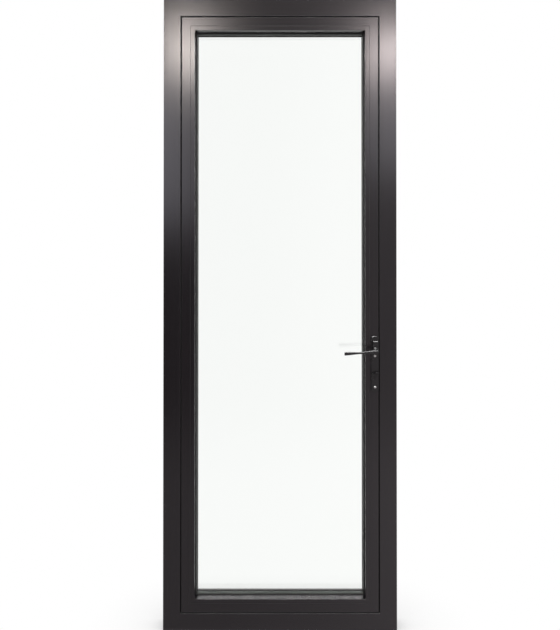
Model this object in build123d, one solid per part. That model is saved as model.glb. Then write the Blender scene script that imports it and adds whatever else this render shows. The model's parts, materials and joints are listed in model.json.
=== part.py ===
"""Glazed aluminium entry door in its own frame, closed, as seen from the room.

The leaf opens outwards, away from the viewer, on three barrel hinges at the left.
Width runs along X, depth along Y with the room at -Y, and height along Z.
The origin is at the middle of the frame's foot. All sizes are in millimetres.

Every profile is drawn as a section in two coordinates: u, measured inwards from the
frame's outer edge, and y, the depth. One section serves all four sides of its ring,
because each length is cut at 45 degrees from the same outer corners.
"""
from build123d import *
import os

# Overall frame
FRAME_WIDTH = 850.0
FRAME_HEIGHT = 2300.0
DEPTH = 70.0
ROOM_FACE = -DEPTH / 2
STREET_FACE = DEPTH / 2

# Lock sizes that the leaf's stile is built round
BACKSET = 40.0           # from the faceplate's front to the spindle
FACEPLATE = 2.0
CASE_BEHIND = 15.0       # from the spindle to the back of the lock case
STILE_PLAY = 3.0

# Profile widths, all as u from the frame's outer edge
FRAME_BODY = 36.0        # frame seen from the street
FRAME_LIP = 26.0         # rebate lip that covers the leaf's edge on the room side
ROOM_GAP = 4.0
STREET_GAP = 6.0
BEAD_FACE = 16.0
GLASS_BITE = 12.0        # how far the glass reaches in behind the bead
FRAME_FACE = FRAME_BODY + FRAME_LIP
LEAF_EDGE = FRAME_FACE + ROOM_GAP
FLANGE_EDGE = FRAME_BODY + STREET_GAP
CASE_REAR = FLANGE_EDGE - FACEPLATE + BACKSET + CASE_BEHIND
REBATE_FLOOR = CASE_REAR + STILE_PLAY
SIGHT_LINE = REBATE_FLOOR + BEAD_FACE
GLASS_EDGE = SIGHT_LINE - GLASS_BITE

# Extrusions
WALL = 2.0
BEAD_WALL = 1.4
SHELL = 27.0             # depth of the inner and of the outer aluminium shell
INNER_BACK = ROOM_FACE + SHELL
OUTER_FRONT = STREET_FACE - SHELL
EDGE_RADIUS = 0.6
STOP_GAP = 5.0           # between the frame's lip and the leaf's flange
FLANGE_FRONT = INNER_BACK + STOP_GAP
SEAT_CLEARANCE = 0.05    # between fixed pieces that slide or press together
SOFT_CLEARANCE = 0.3     # between a seal and the part that closes on it

# Polyamide isolators
ISOLATOR_WEB = 1.8
ISOLATOR_MOUTH = 2.4
ISOLATOR_FOOT = 4.4
ISOLATOR_GRIP = 2.2      # depth of the dovetail groove
ISOLATOR_BOSS = 8.0
FRAME_ISOLATORS = (7.0, FRAME_BODY - 6.5)
LEAF_ISOLATORS = (LEAF_EDGE + 4.5, REBATE_FLOOR - 5.0)

# Seal grooves
GROOVE_MOUTH = 3.0
GROOVE_WIDTH = 6.0
GROOVE_DEPTH = 2.2
GROOVE_LIP = 1.2
STOP_GROOVE = FRAME_FACE - 11.0
GLAZING_GROOVE = SIGHT_LINE - 6.0

# Glazing, from the room side to the street side
BEAD_DEPTH = 26.0
GLAZING_SEAL = 4.0
PANE = 4.0
LIP_DEPTH = 12.0
SPACER_WIDTH = 6.5
SPACER_INSET = 4.0
PANE_EDGE = 1.0
PANE_ROOM = ROOM_FACE + BEAD_DEPTH + GLAZING_SEAL
LIP_FRONT = STREET_FACE - LIP_DEPTH
PANE_STREET = LIP_FRONT - GLAZING_SEAL
CAVITY = PANE_STREET - PANE_ROOM - 2 * PANE

# Bead clip: a T-shaped rail on the leaf that the bead snaps over
CLIP_CENTRE = ROOM_FACE + 12.0
CLIP_STEM = 1.4
CLIP_HEAD = 4.2
CLIP_RISE = 2.5
CLIP_CAP = 1.4

# Corner cleats and setting blocks
CLEAT_LEG = 75.0
CLEAT_CLEARANCE = 0.2
BLOCK_LENGTH = 100.0
BLOCK_INSET = 150.0
BLOCK_LAP = 4.0          # how far a block reaches onto the room-side shell

# Drainage slots in the sill
WEEP_LENGTH = 28.0
WEEP_HEIGHT = 5.0
WEEP_INSET = 130.0       # from each end of the sill

# Frame fixings through the jambs
FIXING_RADIUS = 4.0
FIXING_INSET = 150.0     # from the frame's head and foot
FIXING_INNER = 350.0     # from mid-height

# Hinges
HINGE_INSET = 300.0      # from the frame's head and foot
HINGE_LEVELS = {"bottom": HINGE_INSET, "middle": FRAME_HEIGHT / 2, "top": FRAME_HEIGHT - HINGE_INSET}
HINGE_HEIGHT = 110.0
HINGE_U = FRAME_BODY + STREET_GAP / 2
BARREL_RADIUS = 9.5
HINGE_RISE = BARREL_RADIUS + 1.5   # from the street face to the pin's axis
KNUCKLE_END = 32.0
WING_THICKNESS = 4.0
WING_START = BARREL_RADIUS + 1     # from the axis to the wing's near edge
FRAME_WING = 25.0
LEAF_WING = 27.0
PIN_RADIUS = 5.0
BUSH_RADIUS = PIN_RADIUS + 2
BUSH_LENGTH = 15.0
BUSH_FLANGE = 0.9
PIN_HEAD = 3.0
RUNNING = 0.05           # radial clearance of every shaft that turns
KNUCKLE_GAP = 1.0
HINGE_SCREW_REACH = 38.0
SCREW_GRIP = 5.0         # how far a hinge screw reaches past the profile's wall

# Lock
SPINDLE_HEIGHT = 1020.0
FACEPLATE_WIDTH = 22.0
FACEPLATE_LENGTH = 230.0
LOCK_Y = STREET_FACE - 15.5
LOCK_CENTRES = 85.0      # from the spindle down to the cylinder
CASE_THICKNESS = 15.0
CASE_WALL = 1.5
CASE_ABOVE = 44.0        # above the spindle
CASE_BELOW = 120.0       # below the spindle
CASE_PLAY = 0.5
LATCH_RISE = 23.0        # above the spindle
LATCH_HEIGHT = 22.0
LATCH_THROW = 11.0
BOLT_WIDTH = 11.0
BOLT_DROP = 50.0         # below the spindle
BOLT_HEIGHT = 26.0
BOLT_LENGTH = BACKSET
BOLT_PLAY = 0.25
FINGER_RADIUS = 14.0
FINGER_LEAN = 22.5
FINGER_WIDTH = 6.0
FOLLOWER_RADIUS = 11.0
FOLLOWER_HUB = 8.5
STRIKE = 2.0
STRIKE_LENGTH = 210.0
STRIKE_WIDTH = 22.0
POCKET_PLAY = 1.5

# Profile cylinder
CYLINDER_RADIUS = 8.5
CYLINDER_TAIL = 5.0
CYLINDER_HEIGHT = 33.0
CAM_SLOT = 10.0
CAM_HUB = 7.5
CAM_REACH = CASE_BEHIND - CASE_WALL - CASE_PLAY
PLUG_RADIUS = 6.5
TURN_SHAFT = 4.0
TURN_LENGTH = 25.0       # short enough to pass the frame's lip as the leaf opens
TURN_HEIGHT = 9.0
TURN_DEPTH = 9.0
TURN_TILT = 15.0

# Handles
PLATE_WIDTH = 27.0
PLATE_ABOVE = 50.0       # above the spindle
PLATE_BELOW = 152.0      # below the spindle
PLATE_ARCH = 5.0
PLATE_ROOM = 9.0
PLATE_STREET = 12.0
CYLINDER_ROOM = LOCK_Y - ROOM_FACE + PLATE_ROOM + 1.5
CYLINDER_STREET = STREET_FACE - LOCK_Y + PLATE_STREET + 2.5
PLATE_SHELL = 2.5
PLATE_EDGE = 1.2
HUB_FRONT = 23.0         # from the door's face to the front of the raised hub
HUB_WIDTH = 20.0
HUB_ABOVE = 33.0
HUB_BELOW = 13.0
HUB_CORNER = 3.0
SCREW_DROPS = (22.0, 135.0)
SCREW_RADIUS = 2.5
SCREW_HEAD = 4.4
SCREW_RECESS = 1.6
POST_RADIUS = 4.0
POST_WALL = 4.0
POST_REACH = 14.0
NECK_RADIUS = 8.0
NECK_FLOOR = 3.0         # left under the neck's bore, where the spindle passes
COLLAR_RADIUS = 11.0
WAIST_RADIUS = 6.5
LEVER_REACH = 58.0       # from the door's face to the lever's outer face
LEVER_LENGTH = 116.0     # from the spindle's axis to the tip
ARM_DEPTH = 12.0
SPINDLE_SIDE = 8.0
SPINDLE_ROOM = HUB_FRONT - ROOM_FACE + 16
SPINDLE_STREET = LOCK_Y + CASE_THICKNESS / 2 + 2

# Fixed knob outside
KNOB_RADIUS = 24.0
KNOB_NECK = 10.0
KNOB_ROSE = 14.0
KNOB_REACH = 58.0        # from the door's face to the knob's outer face
KNOB_SCREW = 4.0
KNOB_SCREW_HEAD = 7.0
KNOB_SCREW_LENGTH = 22.0
KNOB_RECESS = 5.0        # how deep the knob's screw lies in the plate's back

# Centres in the door's own frame
LOCK_X = FRAME_WIDTH / 2 - FLANGE_EDGE + FACEPLATE - BACKSET
FACEPLATE_X = FRAME_WIDTH / 2 - FLANGE_EDGE + FACEPLATE
CYLINDER_Z = SPINDLE_HEIGHT - LOCK_CENTRES
HINGE_X = -FRAME_WIDTH / 2 + HINGE_U
HINGE_Y = STREET_FACE + HINGE_RISE

# Where each side of a ring stands: a turn about Y that takes u inwards
SIDES = {
    "left": (Location((-FRAME_WIDTH / 2, 0, 0), (0, 0, 0)), FRAME_HEIGHT),
    "head": (Location((-FRAME_WIDTH / 2, 0, FRAME_HEIGHT), (0, 90, 0)), FRAME_WIDTH),
    "right": (Location((FRAME_WIDTH / 2, 0, FRAME_HEIGHT), (0, 180, 0)), FRAME_HEIGHT),
    "sill": (Location((FRAME_WIDTH / 2, 0, 0), (0, -90, 0)), FRAME_WIDTH),
}


# Drawing helpers

def rect(u0, u1, y0, y1):
    """A rectangle of a section, from u0 to u1 and y0 to y1."""
    return Pos((u0 + u1) / 2, (y0 + y1) / 2) * Rectangle(u1 - u0, y1 - y0)


def rounded(section, radius, *points):
    """Rounds the section's corners that lie nearest to the given points."""
    corners = [min(section.vertices(), key=lambda v: (v.X - u) ** 2 + (v.Y - y) ** 2) for u, y in points]
    return fillet(corners, radius)


def block(x0, x1, y0, y1, z0, z1):
    """A box between two corners."""
    centre = Pos((x0 + x1) / 2, (y0 + y1) / 2, (z0 + z1) / 2)
    return centre * Box(x1 - x0, y1 - y0, z1 - z0)


def along_x(sketch, x0, x1):
    """Extrudes a sketch drawn in depth and height from x0 to x1."""
    return extrude(Plane(origin=(x0, 0, 0), x_dir=(0, 1, 0), z_dir=(1, 0, 0)) * sketch, amount=x1 - x0)


def along_y(sketch, y0, y1):
    """Extrudes a sketch drawn in width and height from y0 to y1."""
    return extrude(Plane(origin=(0, y1, 0), x_dir=(1, 0, 0), z_dir=(0, -1, 0)) * sketch, amount=y1 - y0)


def rod_x(radius, x0, x1, y, z):
    return along_x(Pos(y, z) * Circle(radius), x0, x1)


def rod_y(radius, y0, y1, x, z):
    return along_y(Pos(x, z) * Circle(radius), y0, y1)


def rod_z(radius, z0, z1, x, y):
    return Pos(x, y, z0) * Cylinder(radius, z1 - z0, align=(Align.CENTER, Align.CENTER, Align.MIN))


def mitred(section, side):
    """One length of a ring: the section run along its side and cut at 45 degrees at both ends."""
    place, length = SIDES[side]
    reach = SIGHT_LINE + 20
    corners = [(0, 0), (reach, reach), (reach, length - reach), (0, length)]
    cut = along_y(Polygon(*corners, align=None), -DEPTH, DEPTH)
    return place * (extrude(section, amount=length) & cut)


def ring(section):
    """All four lengths of a section joined into one endless piece."""
    left, head, right, sill = [mitred(section, side) for side in SIDES]
    return left + head + right + sill


def save(name, *solids):
    shape = solids[0] if len(solids) == 1 else Compound(children=list(solids))
    export_step(shape, f"parts/{name}.step")


# Sections

def dovetail(centre, face, inwards, play=0.0):
    """The foot of an isolator, or its groove: narrow at the shell's face and wide at its depth."""
    mouth, foot = ISOLATOR_MOUTH / 2 - play, ISOLATOR_FOOT / 2 - play
    depth = face + inwards * (ISOLATOR_GRIP - play)
    points = [(centre - mouth, face), (centre + mouth, face), (centre + foot, depth), (centre - foot, depth)]
    return make_face(Polyline(*points, close=True))


def seal_groove(centre, face, inwards):
    """An undercut groove that holds the foot of a seal."""
    near, far = face + inwards * GROOVE_LIP, face + inwards * (GROOVE_LIP + GROOVE_DEPTH)
    mouth = rect(centre - GROOVE_MOUTH / 2, centre + GROOVE_MOUTH / 2, *sorted((face, near)))
    return mouth + rect(centre - GROOVE_WIDTH / 2, centre + GROOVE_WIDTH / 2, *sorted((near, far)))


def seal_foot(centre, face, inwards, play=0.1):
    """The foot that sits in a seal groove, reaching out to the groove's face."""
    deep = face + inwards * (GROOVE_LIP + GROOVE_DEPTH - play)
    heel = face + inwards * (GROOVE_LIP + play)
    narrow, wide = GROOVE_MOUTH / 2 - play, GROOVE_WIDTH / 2 - play
    neck = rect(centre - narrow, centre + narrow, *sorted((face, deep)))
    return neck + rect(centre - wide, centre + wide, *sorted((heel, deep)))


def groove_boss(centre, wall_face, inwards):
    """The thicker metal inside a chamber round a seal groove."""
    depth = GROOVE_LIP + GROOVE_DEPTH
    half = GROOVE_WIDTH / 2 + 1.2
    return rect(centre - half, centre + half, *sorted((wall_face, wall_face + inwards * depth)))


def isolator_bosses(centres, wall_face, inwards):
    """The thicker metal inside a chamber at each dovetail."""
    depth = ISOLATOR_GRIP
    half = ISOLATOR_BOSS / 2
    bosses = [rect(c - half, c + half, *sorted((wall_face, wall_face + inwards * depth))) for c in centres]
    return bosses[0] + bosses[1]


def frame_inner_section():
    """The frame's shell on the room side: a body chamber and the hollow rebate lip."""
    shell = rect(0, FRAME_FACE, ROOM_FACE, INNER_BACK)
    inside = (ROOM_FACE + WALL, INNER_BACK - WALL)
    body = rect(WALL, FRAME_BODY - WALL, *inside) - isolator_bosses(FRAME_ISOLATORS, INNER_BACK - WALL, -1)
    lip = rect(FRAME_BODY, FRAME_FACE - WALL, *inside) - groove_boss(STOP_GROOVE, INNER_BACK - WALL, -1)
    shell = rounded(shell, EDGE_RADIUS, (FRAME_FACE, ROOM_FACE), (FRAME_FACE, INNER_BACK), (0, ROOM_FACE))
    shell = shell - body - lip - seal_groove(STOP_GROOVE, INNER_BACK, -1)
    return shell - dovetail(FRAME_ISOLATORS[0], INNER_BACK, -1) - dovetail(FRAME_ISOLATORS[1], INNER_BACK, -1)


def frame_outer_section():
    """The frame's shell on the street side: a single chamber."""
    shell = rect(0, FRAME_BODY, OUTER_FRONT, STREET_FACE)
    shell = rounded(shell, EDGE_RADIUS, (FRAME_BODY, STREET_FACE), (0, STREET_FACE))
    chamber = rect(WALL, FRAME_BODY - WALL, OUTER_FRONT + WALL, STREET_FACE - WALL)
    shell = shell - (chamber - isolator_bosses(FRAME_ISOLATORS, OUTER_FRONT + WALL, 1))
    return shell - dovetail(FRAME_ISOLATORS[0], OUTER_FRONT, 1) - dovetail(FRAME_ISOLATORS[1], OUTER_FRONT, 1)


def leaf_inner_section():
    """The leaf's shell on the room side, with the rail that the glazing bead snaps over."""
    shell = rect(LEAF_EDGE, REBATE_FLOOR, ROOM_FACE, INNER_BACK)
    shell = rounded(shell, EDGE_RADIUS, (LEAF_EDGE, ROOM_FACE), (REBATE_FLOOR, ROOM_FACE))
    chamber = rect(LEAF_EDGE + WALL, REBATE_FLOOR - WALL, ROOM_FACE + WALL, INNER_BACK - WALL)
    shell = shell - (chamber - isolator_bosses(LEAF_ISOLATORS, INNER_BACK - WALL, -1))
    rail = REBATE_FLOOR + CLIP_RISE
    stem = rect(REBATE_FLOOR, rail, CLIP_CENTRE - CLIP_STEM / 2, CLIP_CENTRE + CLIP_STEM / 2)
    cap = rect(rail, rail + CLIP_CAP, CLIP_CENTRE - CLIP_HEAD / 2, CLIP_CENTRE + CLIP_HEAD / 2)
    shell = shell + stem + cap
    return shell - dovetail(LEAF_ISOLATORS[0], INNER_BACK, -1) - dovetail(LEAF_ISOLATORS[1], INNER_BACK, -1)


def leaf_outer_section():
    """The leaf's shell on the street side: the flange that covers the frame, and the fixed glazing lip."""
    shell = rect(FLANGE_EDGE, LEAF_EDGE, FLANGE_FRONT, STREET_FACE)
    shell = shell + rect(LEAF_EDGE, REBATE_FLOOR, OUTER_FRONT, STREET_FACE)
    shell = shell + rect(REBATE_FLOOR, SIGHT_LINE, LIP_FRONT, STREET_FACE)
    corners = [(FLANGE_EDGE, STREET_FACE), (FLANGE_EDGE, FLANGE_FRONT), (SIGHT_LINE, STREET_FACE)]
    shell = rounded(shell, EDGE_RADIUS, *corners)
    bosses = isolator_bosses(LEAF_ISOLATORS, OUTER_FRONT + WALL, 1)
    flange = rect(FLANGE_EDGE + WALL, LEAF_EDGE - WALL, FLANGE_FRONT + WALL, STREET_FACE - WALL)
    body = rect(LEAF_EDGE - WALL, REBATE_FLOOR - WALL, OUTER_FRONT + WALL, STREET_FACE - WALL) - bosses
    lip_front = LIP_FRONT + GROOVE_LIP + GROOVE_DEPTH + WALL / 2
    lip = rect(REBATE_FLOOR, SIGHT_LINE - WALL, lip_front, STREET_FACE - WALL)
    shell = shell - flange - body - lip - seal_groove(GLAZING_GROOVE, LIP_FRONT, 1)
    return shell - dovetail(LEAF_ISOLATORS[0], OUTER_FRONT, 1) - dovetail(LEAF_ISOLATORS[1], OUTER_FRONT, 1)


def isolator_section(centre):
    """A polyamide strip: a web with a dovetail foot in each shell."""
    web = rect(centre - ISOLATOR_WEB / 2, centre + ISOLATOR_WEB / 2, INNER_BACK - 1, OUTER_FRONT + 1)
    feet = dovetail(centre, INNER_BACK, -1, SEAT_CLEARANCE) + dovetail(centre, OUTER_FRONT, 1, SEAT_CLEARANCE)
    return web + feet


def bead_section():
    """A snap-in glazing bead: a closed box that stands on two barbed legs over the leaf's rail."""
    back = ROOM_FACE + BEAD_DEPTH
    shelf = REBATE_FLOOR + CLIP_RISE + CLIP_CAP + 0.5
    foot = REBATE_FLOOR + 0.15
    shell = rect(shelf, SIGHT_LINE, ROOM_FACE, back)
    shell = rounded(shell, EDGE_RADIUS, (SIGHT_LINE, ROOM_FACE), (SIGHT_LINE, back))
    shell = shell - rect(shelf + BEAD_WALL, SIGHT_LINE - BEAD_WALL, ROOM_FACE + BEAD_WALL, back - BEAD_WALL)
    skirt = rect(foot, shelf, ROOM_FACE, ROOM_FACE + BEAD_WALL)
    leg, barb, play = 1.2, 0.9, 0.4
    near = CLIP_CENTRE - CLIP_HEAD / 2 - play
    far = CLIP_CENTRE + CLIP_HEAD / 2 + play
    barb_top = REBATE_FLOOR + CLIP_RISE - 0.3
    legs = rect(foot + 0.5, shelf, near - leg, near) + rect(foot + 0.5, shelf, far, far + leg)
    barbs = rect(foot + 0.5, barb_top, near, near + barb) + rect(foot + 0.5, barb_top, far - barb, far)
    return shell + skirt + legs + barbs


def stop_seal_section():
    """The closing seal on the frame's lip: a hollow bulb on a grooved foot."""
    crown = FLANGE_FRONT - SOFT_CLEARANCE
    bulb = rect(STOP_GROOVE - 4.5, STOP_GROOVE + 4.5, INNER_BACK, crown)
    bulb = rounded(bulb, 2.2, (STOP_GROOVE - 4.5, crown), (STOP_GROOVE + 4.5, crown))
    hollow = Pos(STOP_GROOVE, INNER_BACK + 2.5) * SlotOverall(6.0, 2.4)
    return bulb - hollow + seal_foot(STOP_GROOVE, INNER_BACK, -1)


def inner_seal_section():
    """The wedge seal pressed in between the bead and the room-side pane."""
    bead_back = ROOM_FACE + BEAD_DEPTH
    points = [
        (GLASS_EDGE + 3, bead_back),
        (SIGHT_LINE + 0.4, bead_back),
        (SIGHT_LINE + 1.4, PANE_ROOM),
        (GLASS_EDGE + 5, PANE_ROOM),
    ]
    return make_face(Polyline(*points, close=True))


def outer_seal_section():
    """The seal between the street-side pane and the fixed lip."""
    points = [
        (GLAZING_GROOVE - 4, LIP_FRONT),
        (SIGHT_LINE - 0.6, LIP_FRONT),
        (SIGHT_LINE + 0.8, PANE_STREET),
        (GLAZING_GROOVE - 3, PANE_STREET),
    ]
    return make_face(Polyline(*points, close=True)) + seal_foot(GLAZING_GROOVE, LIP_FRONT, 1)


# Rings of profile

def cleat(u0, u1, y0, y1, side):
    """An L-shaped corner block inside two mitred chambers, at the corner where this side starts."""
    a, b = u0 + CLEAT_CLEARANCE, u1 - CLEAT_CLEARANCE
    end = a + CLEAT_LEG
    outline = Polygon((a, a), (end, a), (end, b), (b, b), (b, end), (a, end), align=None)
    return SIDES[side][0] * along_y(outline, y0 + CLEAT_CLEARANCE, y1 - CLEAT_CLEARANCE)


def frame_cleats():
    inner = (WALL, FRAME_BODY - WALL, ROOM_FACE + WALL, INNER_BACK - WALL - ISOLATOR_GRIP)
    outer = (WALL, FRAME_BODY - WALL, OUTER_FRONT + WALL + ISOLATOR_GRIP, STREET_FACE - WALL)
    return [cleat(*space, side) for space in (inner, outer) for side in SIDES]


def leaf_cleats():
    inner = (LEAF_EDGE + WALL, REBATE_FLOOR - WALL, ROOM_FACE + WALL, INNER_BACK - WALL - ISOLATOR_GRIP)
    outer = (LEAF_EDGE, REBATE_FLOOR - WALL, OUTER_FRONT + WALL + ISOLATOR_GRIP, STREET_FACE - WALL)
    return [cleat(*space, side) for space in (inner, outer) for side in SIDES]


def setting_blocks():
    """Packers between the glass unit and the rebate: two under it and two at each side."""
    lift = GLASS_EDGE - REBATE_FLOOR
    near, far = INNER_BACK - BLOCK_LAP, PANE_STREET - 1
    half_width = FRAME_WIDTH / 2
    packers = []
    for x in (-half_width + BLOCK_INSET, half_width - BLOCK_INSET - BLOCK_LENGTH):
        packers.append(block(x, x + BLOCK_LENGTH, near, far, REBATE_FLOOR, REBATE_FLOOR + lift))
    for side in (-1, 1):
        edge = side * (half_width - REBATE_FLOOR)
        inner = edge - side * lift
        for z in (BLOCK_INSET, FRAME_HEIGHT - BLOCK_INSET - BLOCK_LENGTH):
            packers.append(block(min(edge, inner), max(edge, inner), near, far, z, z + BLOCK_LENGTH))
    return packers


def pane(y0):
    half = FRAME_WIDTH / 2 - GLASS_EDGE
    sheet = block(-half, half, y0, y0 + PANE, GLASS_EDGE, FRAME_HEIGHT - GLASS_EDGE)
    return chamfer(sheet.edges().filter_by(Axis.Y), PANE_EDGE)


def spacer():
    """The bar between the panes, a hollow tube bent round the unit's edge."""
    u = GLASS_EDGE + SPACER_INSET
    y = PANE_ROOM + PANE
    tube = rect(u, u + SPACER_WIDTH, y, y + CAVITY)
    return ring(tube - rect(u + 0.8, u + SPACER_WIDTH - 0.8, y + 1, y + CAVITY - 1))


# Screws

def countersink(radius, head, length):
    """The space that a countersunk screw takes, pointing down from its head's face at the origin."""
    cone = Pos(0, 0, -(head - radius) / 2) * Cone(radius, head, head - radius)
    return cone + Pos(0, 0, -length / 2) * Cylinder(radius, length)


def countersunk(radius, head, length):
    """A countersunk screw with a hexagon socket in its head."""
    socket = extrude(RegularPolygon(head * 0.42, 6), amount=-(head - radius) * 0.8)
    return countersink(radius, head, length) - socket


def pan_head(radius, head, length):
    """A raised-head screw with a hexagon socket, its head's seat at the origin."""
    dome = Pos(0, 0, 1.3) * Cylinder(head, 2.6)
    dome = chamfer(dome.edges().sort_by(Axis.Z)[-1], 0.8)
    shank = Pos(0, 0, -length / 2) * Cylinder(radius, length)
    socket = Pos(0, 0, 2.6) * extrude(RegularPolygon(head * 0.45, 6), amount=-1.6)
    return dome + shank - socket


POINT_TO_ROOM = Rot(90, 0, 0)      # the screw's head faces -Y
POINT_TO_STREET = Rot(-90, 0, 0)   # the head faces +Y
POINT_TO_EDGE = Rot(0, 90, 0)      # the head faces +X
POINT_TO_LEAF = Rot(0, -90, 0)     # the head faces -X


# Hinges

def hinge_screw_spots(side):
    """The centres of a wing's two screws, as distances from the pin's axis and from mid-height."""
    width = FRAME_WING if side < 0 else LEAF_WING
    return [(side * (WING_START + width / 2 + 1), z) for z in (-HINGE_SCREW_REACH, HINGE_SCREW_REACH)]


def wing(side, knuckles):
    """Half a hinge: a plate on the street face and the knuckles that it carries round the pin."""
    width = FRAME_WING if side < 0 else LEAF_WING
    low = HINGE_Y - HINGE_RISE
    near, far = HINGE_X + side * WING_START, HINGE_X + side * (WING_START + width)
    half = HINGE_HEIGHT / 2
    plate = block(min(near, far), max(near, far), low, low + WING_THICKNESS, -half, half)
    plate = fillet(plate.edges().filter_by(Axis.Y), 2.0)
    part = plate
    for z0, z1, bore in knuckles:
        web = block(min(HINGE_X, near + side * 3), max(HINGE_X, near + side * 3), low, HINGE_Y - 3, z0, z1)
        part = part + web + rod_z(BARREL_RADIUS, z0, z1, HINGE_X, HINGE_Y)
        part = part - rod_z(bore, z0, z1, HINGE_X, HINGE_Y)
    for x, z in hinge_screw_spots(side):
        seat = Pos(HINGE_X + x, low + WING_THICKNESS, z) * POINT_TO_STREET
        part = part - seat * countersink(2.5 + SEAT_CLEARANCE, 5.0 + SEAT_CLEARANCE, 12)
    return part


def hinge_knuckles():
    half = HINGE_HEIGHT / 2
    ends = [(-half, -half + KNUCKLE_END, PIN_RADIUS), (half - KNUCKLE_END, half, PIN_RADIUS)]
    inner = half - KNUCKLE_END - KNUCKLE_GAP
    return ends, [(-inner, inner, BUSH_RADIUS)]


def hinge_bushes(level):
    """Two flanged nylon bushes, one in each end of the leaf's knuckle."""
    inner = HINGE_HEIGHT / 2 - KNUCKLE_END - KNUCKLE_GAP
    made = []
    for end in (-1, 1):
        face = level + end * inner
        tube = rod_z(BUSH_RADIUS, *sorted((face, face - end * BUSH_LENGTH)), HINGE_X, HINGE_Y)
        flange = rod_z(BARREL_RADIUS - 1, *sorted((face, face + end * BUSH_FLANGE)), HINGE_X, HINGE_Y)
        bore = rod_z(PIN_RADIUS + RUNNING, level - HINGE_HEIGHT, level + HINGE_HEIGHT, HINGE_X, HINGE_Y)
        made.append(tube + flange - bore)
    return made


def hinge_pin(level):
    """A steel pin through all three knuckles, closed by a cap at each end."""
    half = HINGE_HEIGHT / 2
    pin = rod_z(PIN_RADIUS, level - half, level + half, HINGE_X, HINGE_Y)
    top = rod_z(BARREL_RADIUS, level + half, level + half + PIN_HEAD, HINGE_X, HINGE_Y)
    foot = rod_z(BARREL_RADIUS, level - half - PIN_HEAD, level - half, HINGE_X, HINGE_Y)
    top = chamfer(top.edges().filter_by(GeomType.CIRCLE).sort_by(Axis.Z)[-1], 1.2)
    foot = chamfer(foot.edges().filter_by(GeomType.CIRCLE).sort_by(Axis.Z)[0], 1.2)
    return pin + top + foot


def hinge_screws(side):
    made = []
    for level in HINGE_LEVELS.values():
        for x, z in hinge_screw_spots(side):
            seat = Pos(HINGE_X + x, STREET_FACE + WING_THICKNESS, level + z) * POINT_TO_STREET
            made.append(seat * countersunk(2.5, 5.0, WING_THICKNESS + WALL + SCREW_GRIP))
    return made


def weep_slots():
    """Three drainage slots through the sill's street wall, one at the middle and one near each end."""
    level = WALL + WEEP_HEIGHT / 2 + 4
    reach = FRAME_WIDTH / 2 - WEEP_INSET
    slots = [Pos(x, level) * SlotOverall(WEEP_LENGTH, WEEP_HEIGHT) for x in (-reach, 0, reach)]
    return [along_y(slot, STREET_FACE - WALL - 1, STREET_FACE + 1) for slot in slots]


def hinge_holes(side):
    """Clearance holes for a wing's screws through the profile's street wall."""
    holes = []
    near, far = STREET_FACE - WALL - 1, STREET_FACE + 1
    for level in HINGE_LEVELS.values():
        for x, z in hinge_screw_spots(side):
            holes.append(rod_y(2.5 + SEAT_CLEARANCE, near, far, HINGE_X + x, level + z))
    return holes


# Lock

def faceplate_centre():
    return SPINDLE_HEIGHT + (CASE_ABOVE - CASE_BELOW) / 2


def latch_level():
    return SPINDLE_HEIGHT + LATCH_RISE


def bolt_level():
    return SPINDLE_HEIGHT - BOLT_DROP


def slot_yz(width, height, z):
    """A rectangular slot in depth and height on the lock's centre plane."""
    return Pos(LOCK_Y, z) * Rectangle(width, height)


def euro_profile(play=0.0):
    """The outline of a profile cylinder: a round barrel over a narrow round-ended tail."""
    tail_centre = CYLINDER_RADIUS - CYLINDER_HEIGHT + CYLINDER_TAIL
    barrel = Circle(CYLINDER_RADIUS + play)
    tail = Pos(0, tail_centre / 2) * Rectangle(2 * (CYLINDER_TAIL + play), -tail_centre)
    foot = Pos(0, tail_centre) * Circle(CYLINDER_TAIL + play)
    return Pos(LOCK_X, CYLINDER_Z) * (barrel + tail + foot)


def faceplate():
    outline = Pos(LOCK_Y, faceplate_centre()) * RectangleRounded(FACEPLATE_WIDTH, FACEPLATE_LENGTH, 3)
    plate = along_x(outline, FACEPLATE_X - FACEPLATE, FACEPLATE_X)
    window = slot_yz(BOLT_WIDTH + 2 * BOLT_PLAY, LATCH_HEIGHT + 2 * BOLT_PLAY, latch_level())
    window = window + slot_yz(BOLT_WIDTH + 2 * BOLT_PLAY, BOLT_HEIGHT + 2 * BOLT_PLAY, bolt_level())
    plate = plate - along_x(window, FACEPLATE_X - FACEPLATE, FACEPLATE_X)
    for spot in faceplate_screw_spots():
        plate = plate - spot * countersink(2.5 + SEAT_CLEARANCE, 4.4 + SEAT_CLEARANCE, 12)
    return plate


def faceplate_screw_spots():
    """Where the two faceplate screws and the cylinder's long screw enter, heads flush with the plate."""
    reach = FACEPLATE_LENGTH / 2 - 12
    tail = CYLINDER_Z + CYLINDER_RADIUS - CYLINDER_HEIGHT + CYLINDER_TAIL
    levels = (faceplate_centre() + reach, faceplate_centre() - reach, tail)
    return [Pos(FACEPLATE_X, LOCK_Y, z) * POINT_TO_EDGE for z in levels]


def faceplate_screws():
    lengths = (14, 14, BACKSET + 3)
    return [spot * countersunk(2.5, 4.4, length) for spot, length in zip(faceplate_screw_spots(), lengths)]


def case_space(grow=0.0):
    """The lock case's outer block, from the faceplate's back to its rear wall."""
    front = FACEPLATE_X - FACEPLATE
    rear = FRAME_WIDTH / 2 - CASE_REAR
    half = CASE_THICKNESS / 2
    return block(rear - grow, front, LOCK_Y - half - grow, LOCK_Y + half + grow,
                 SPINDLE_HEIGHT - CASE_BELOW - grow, SPINDLE_HEIGHT + CASE_ABOVE + grow)


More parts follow.
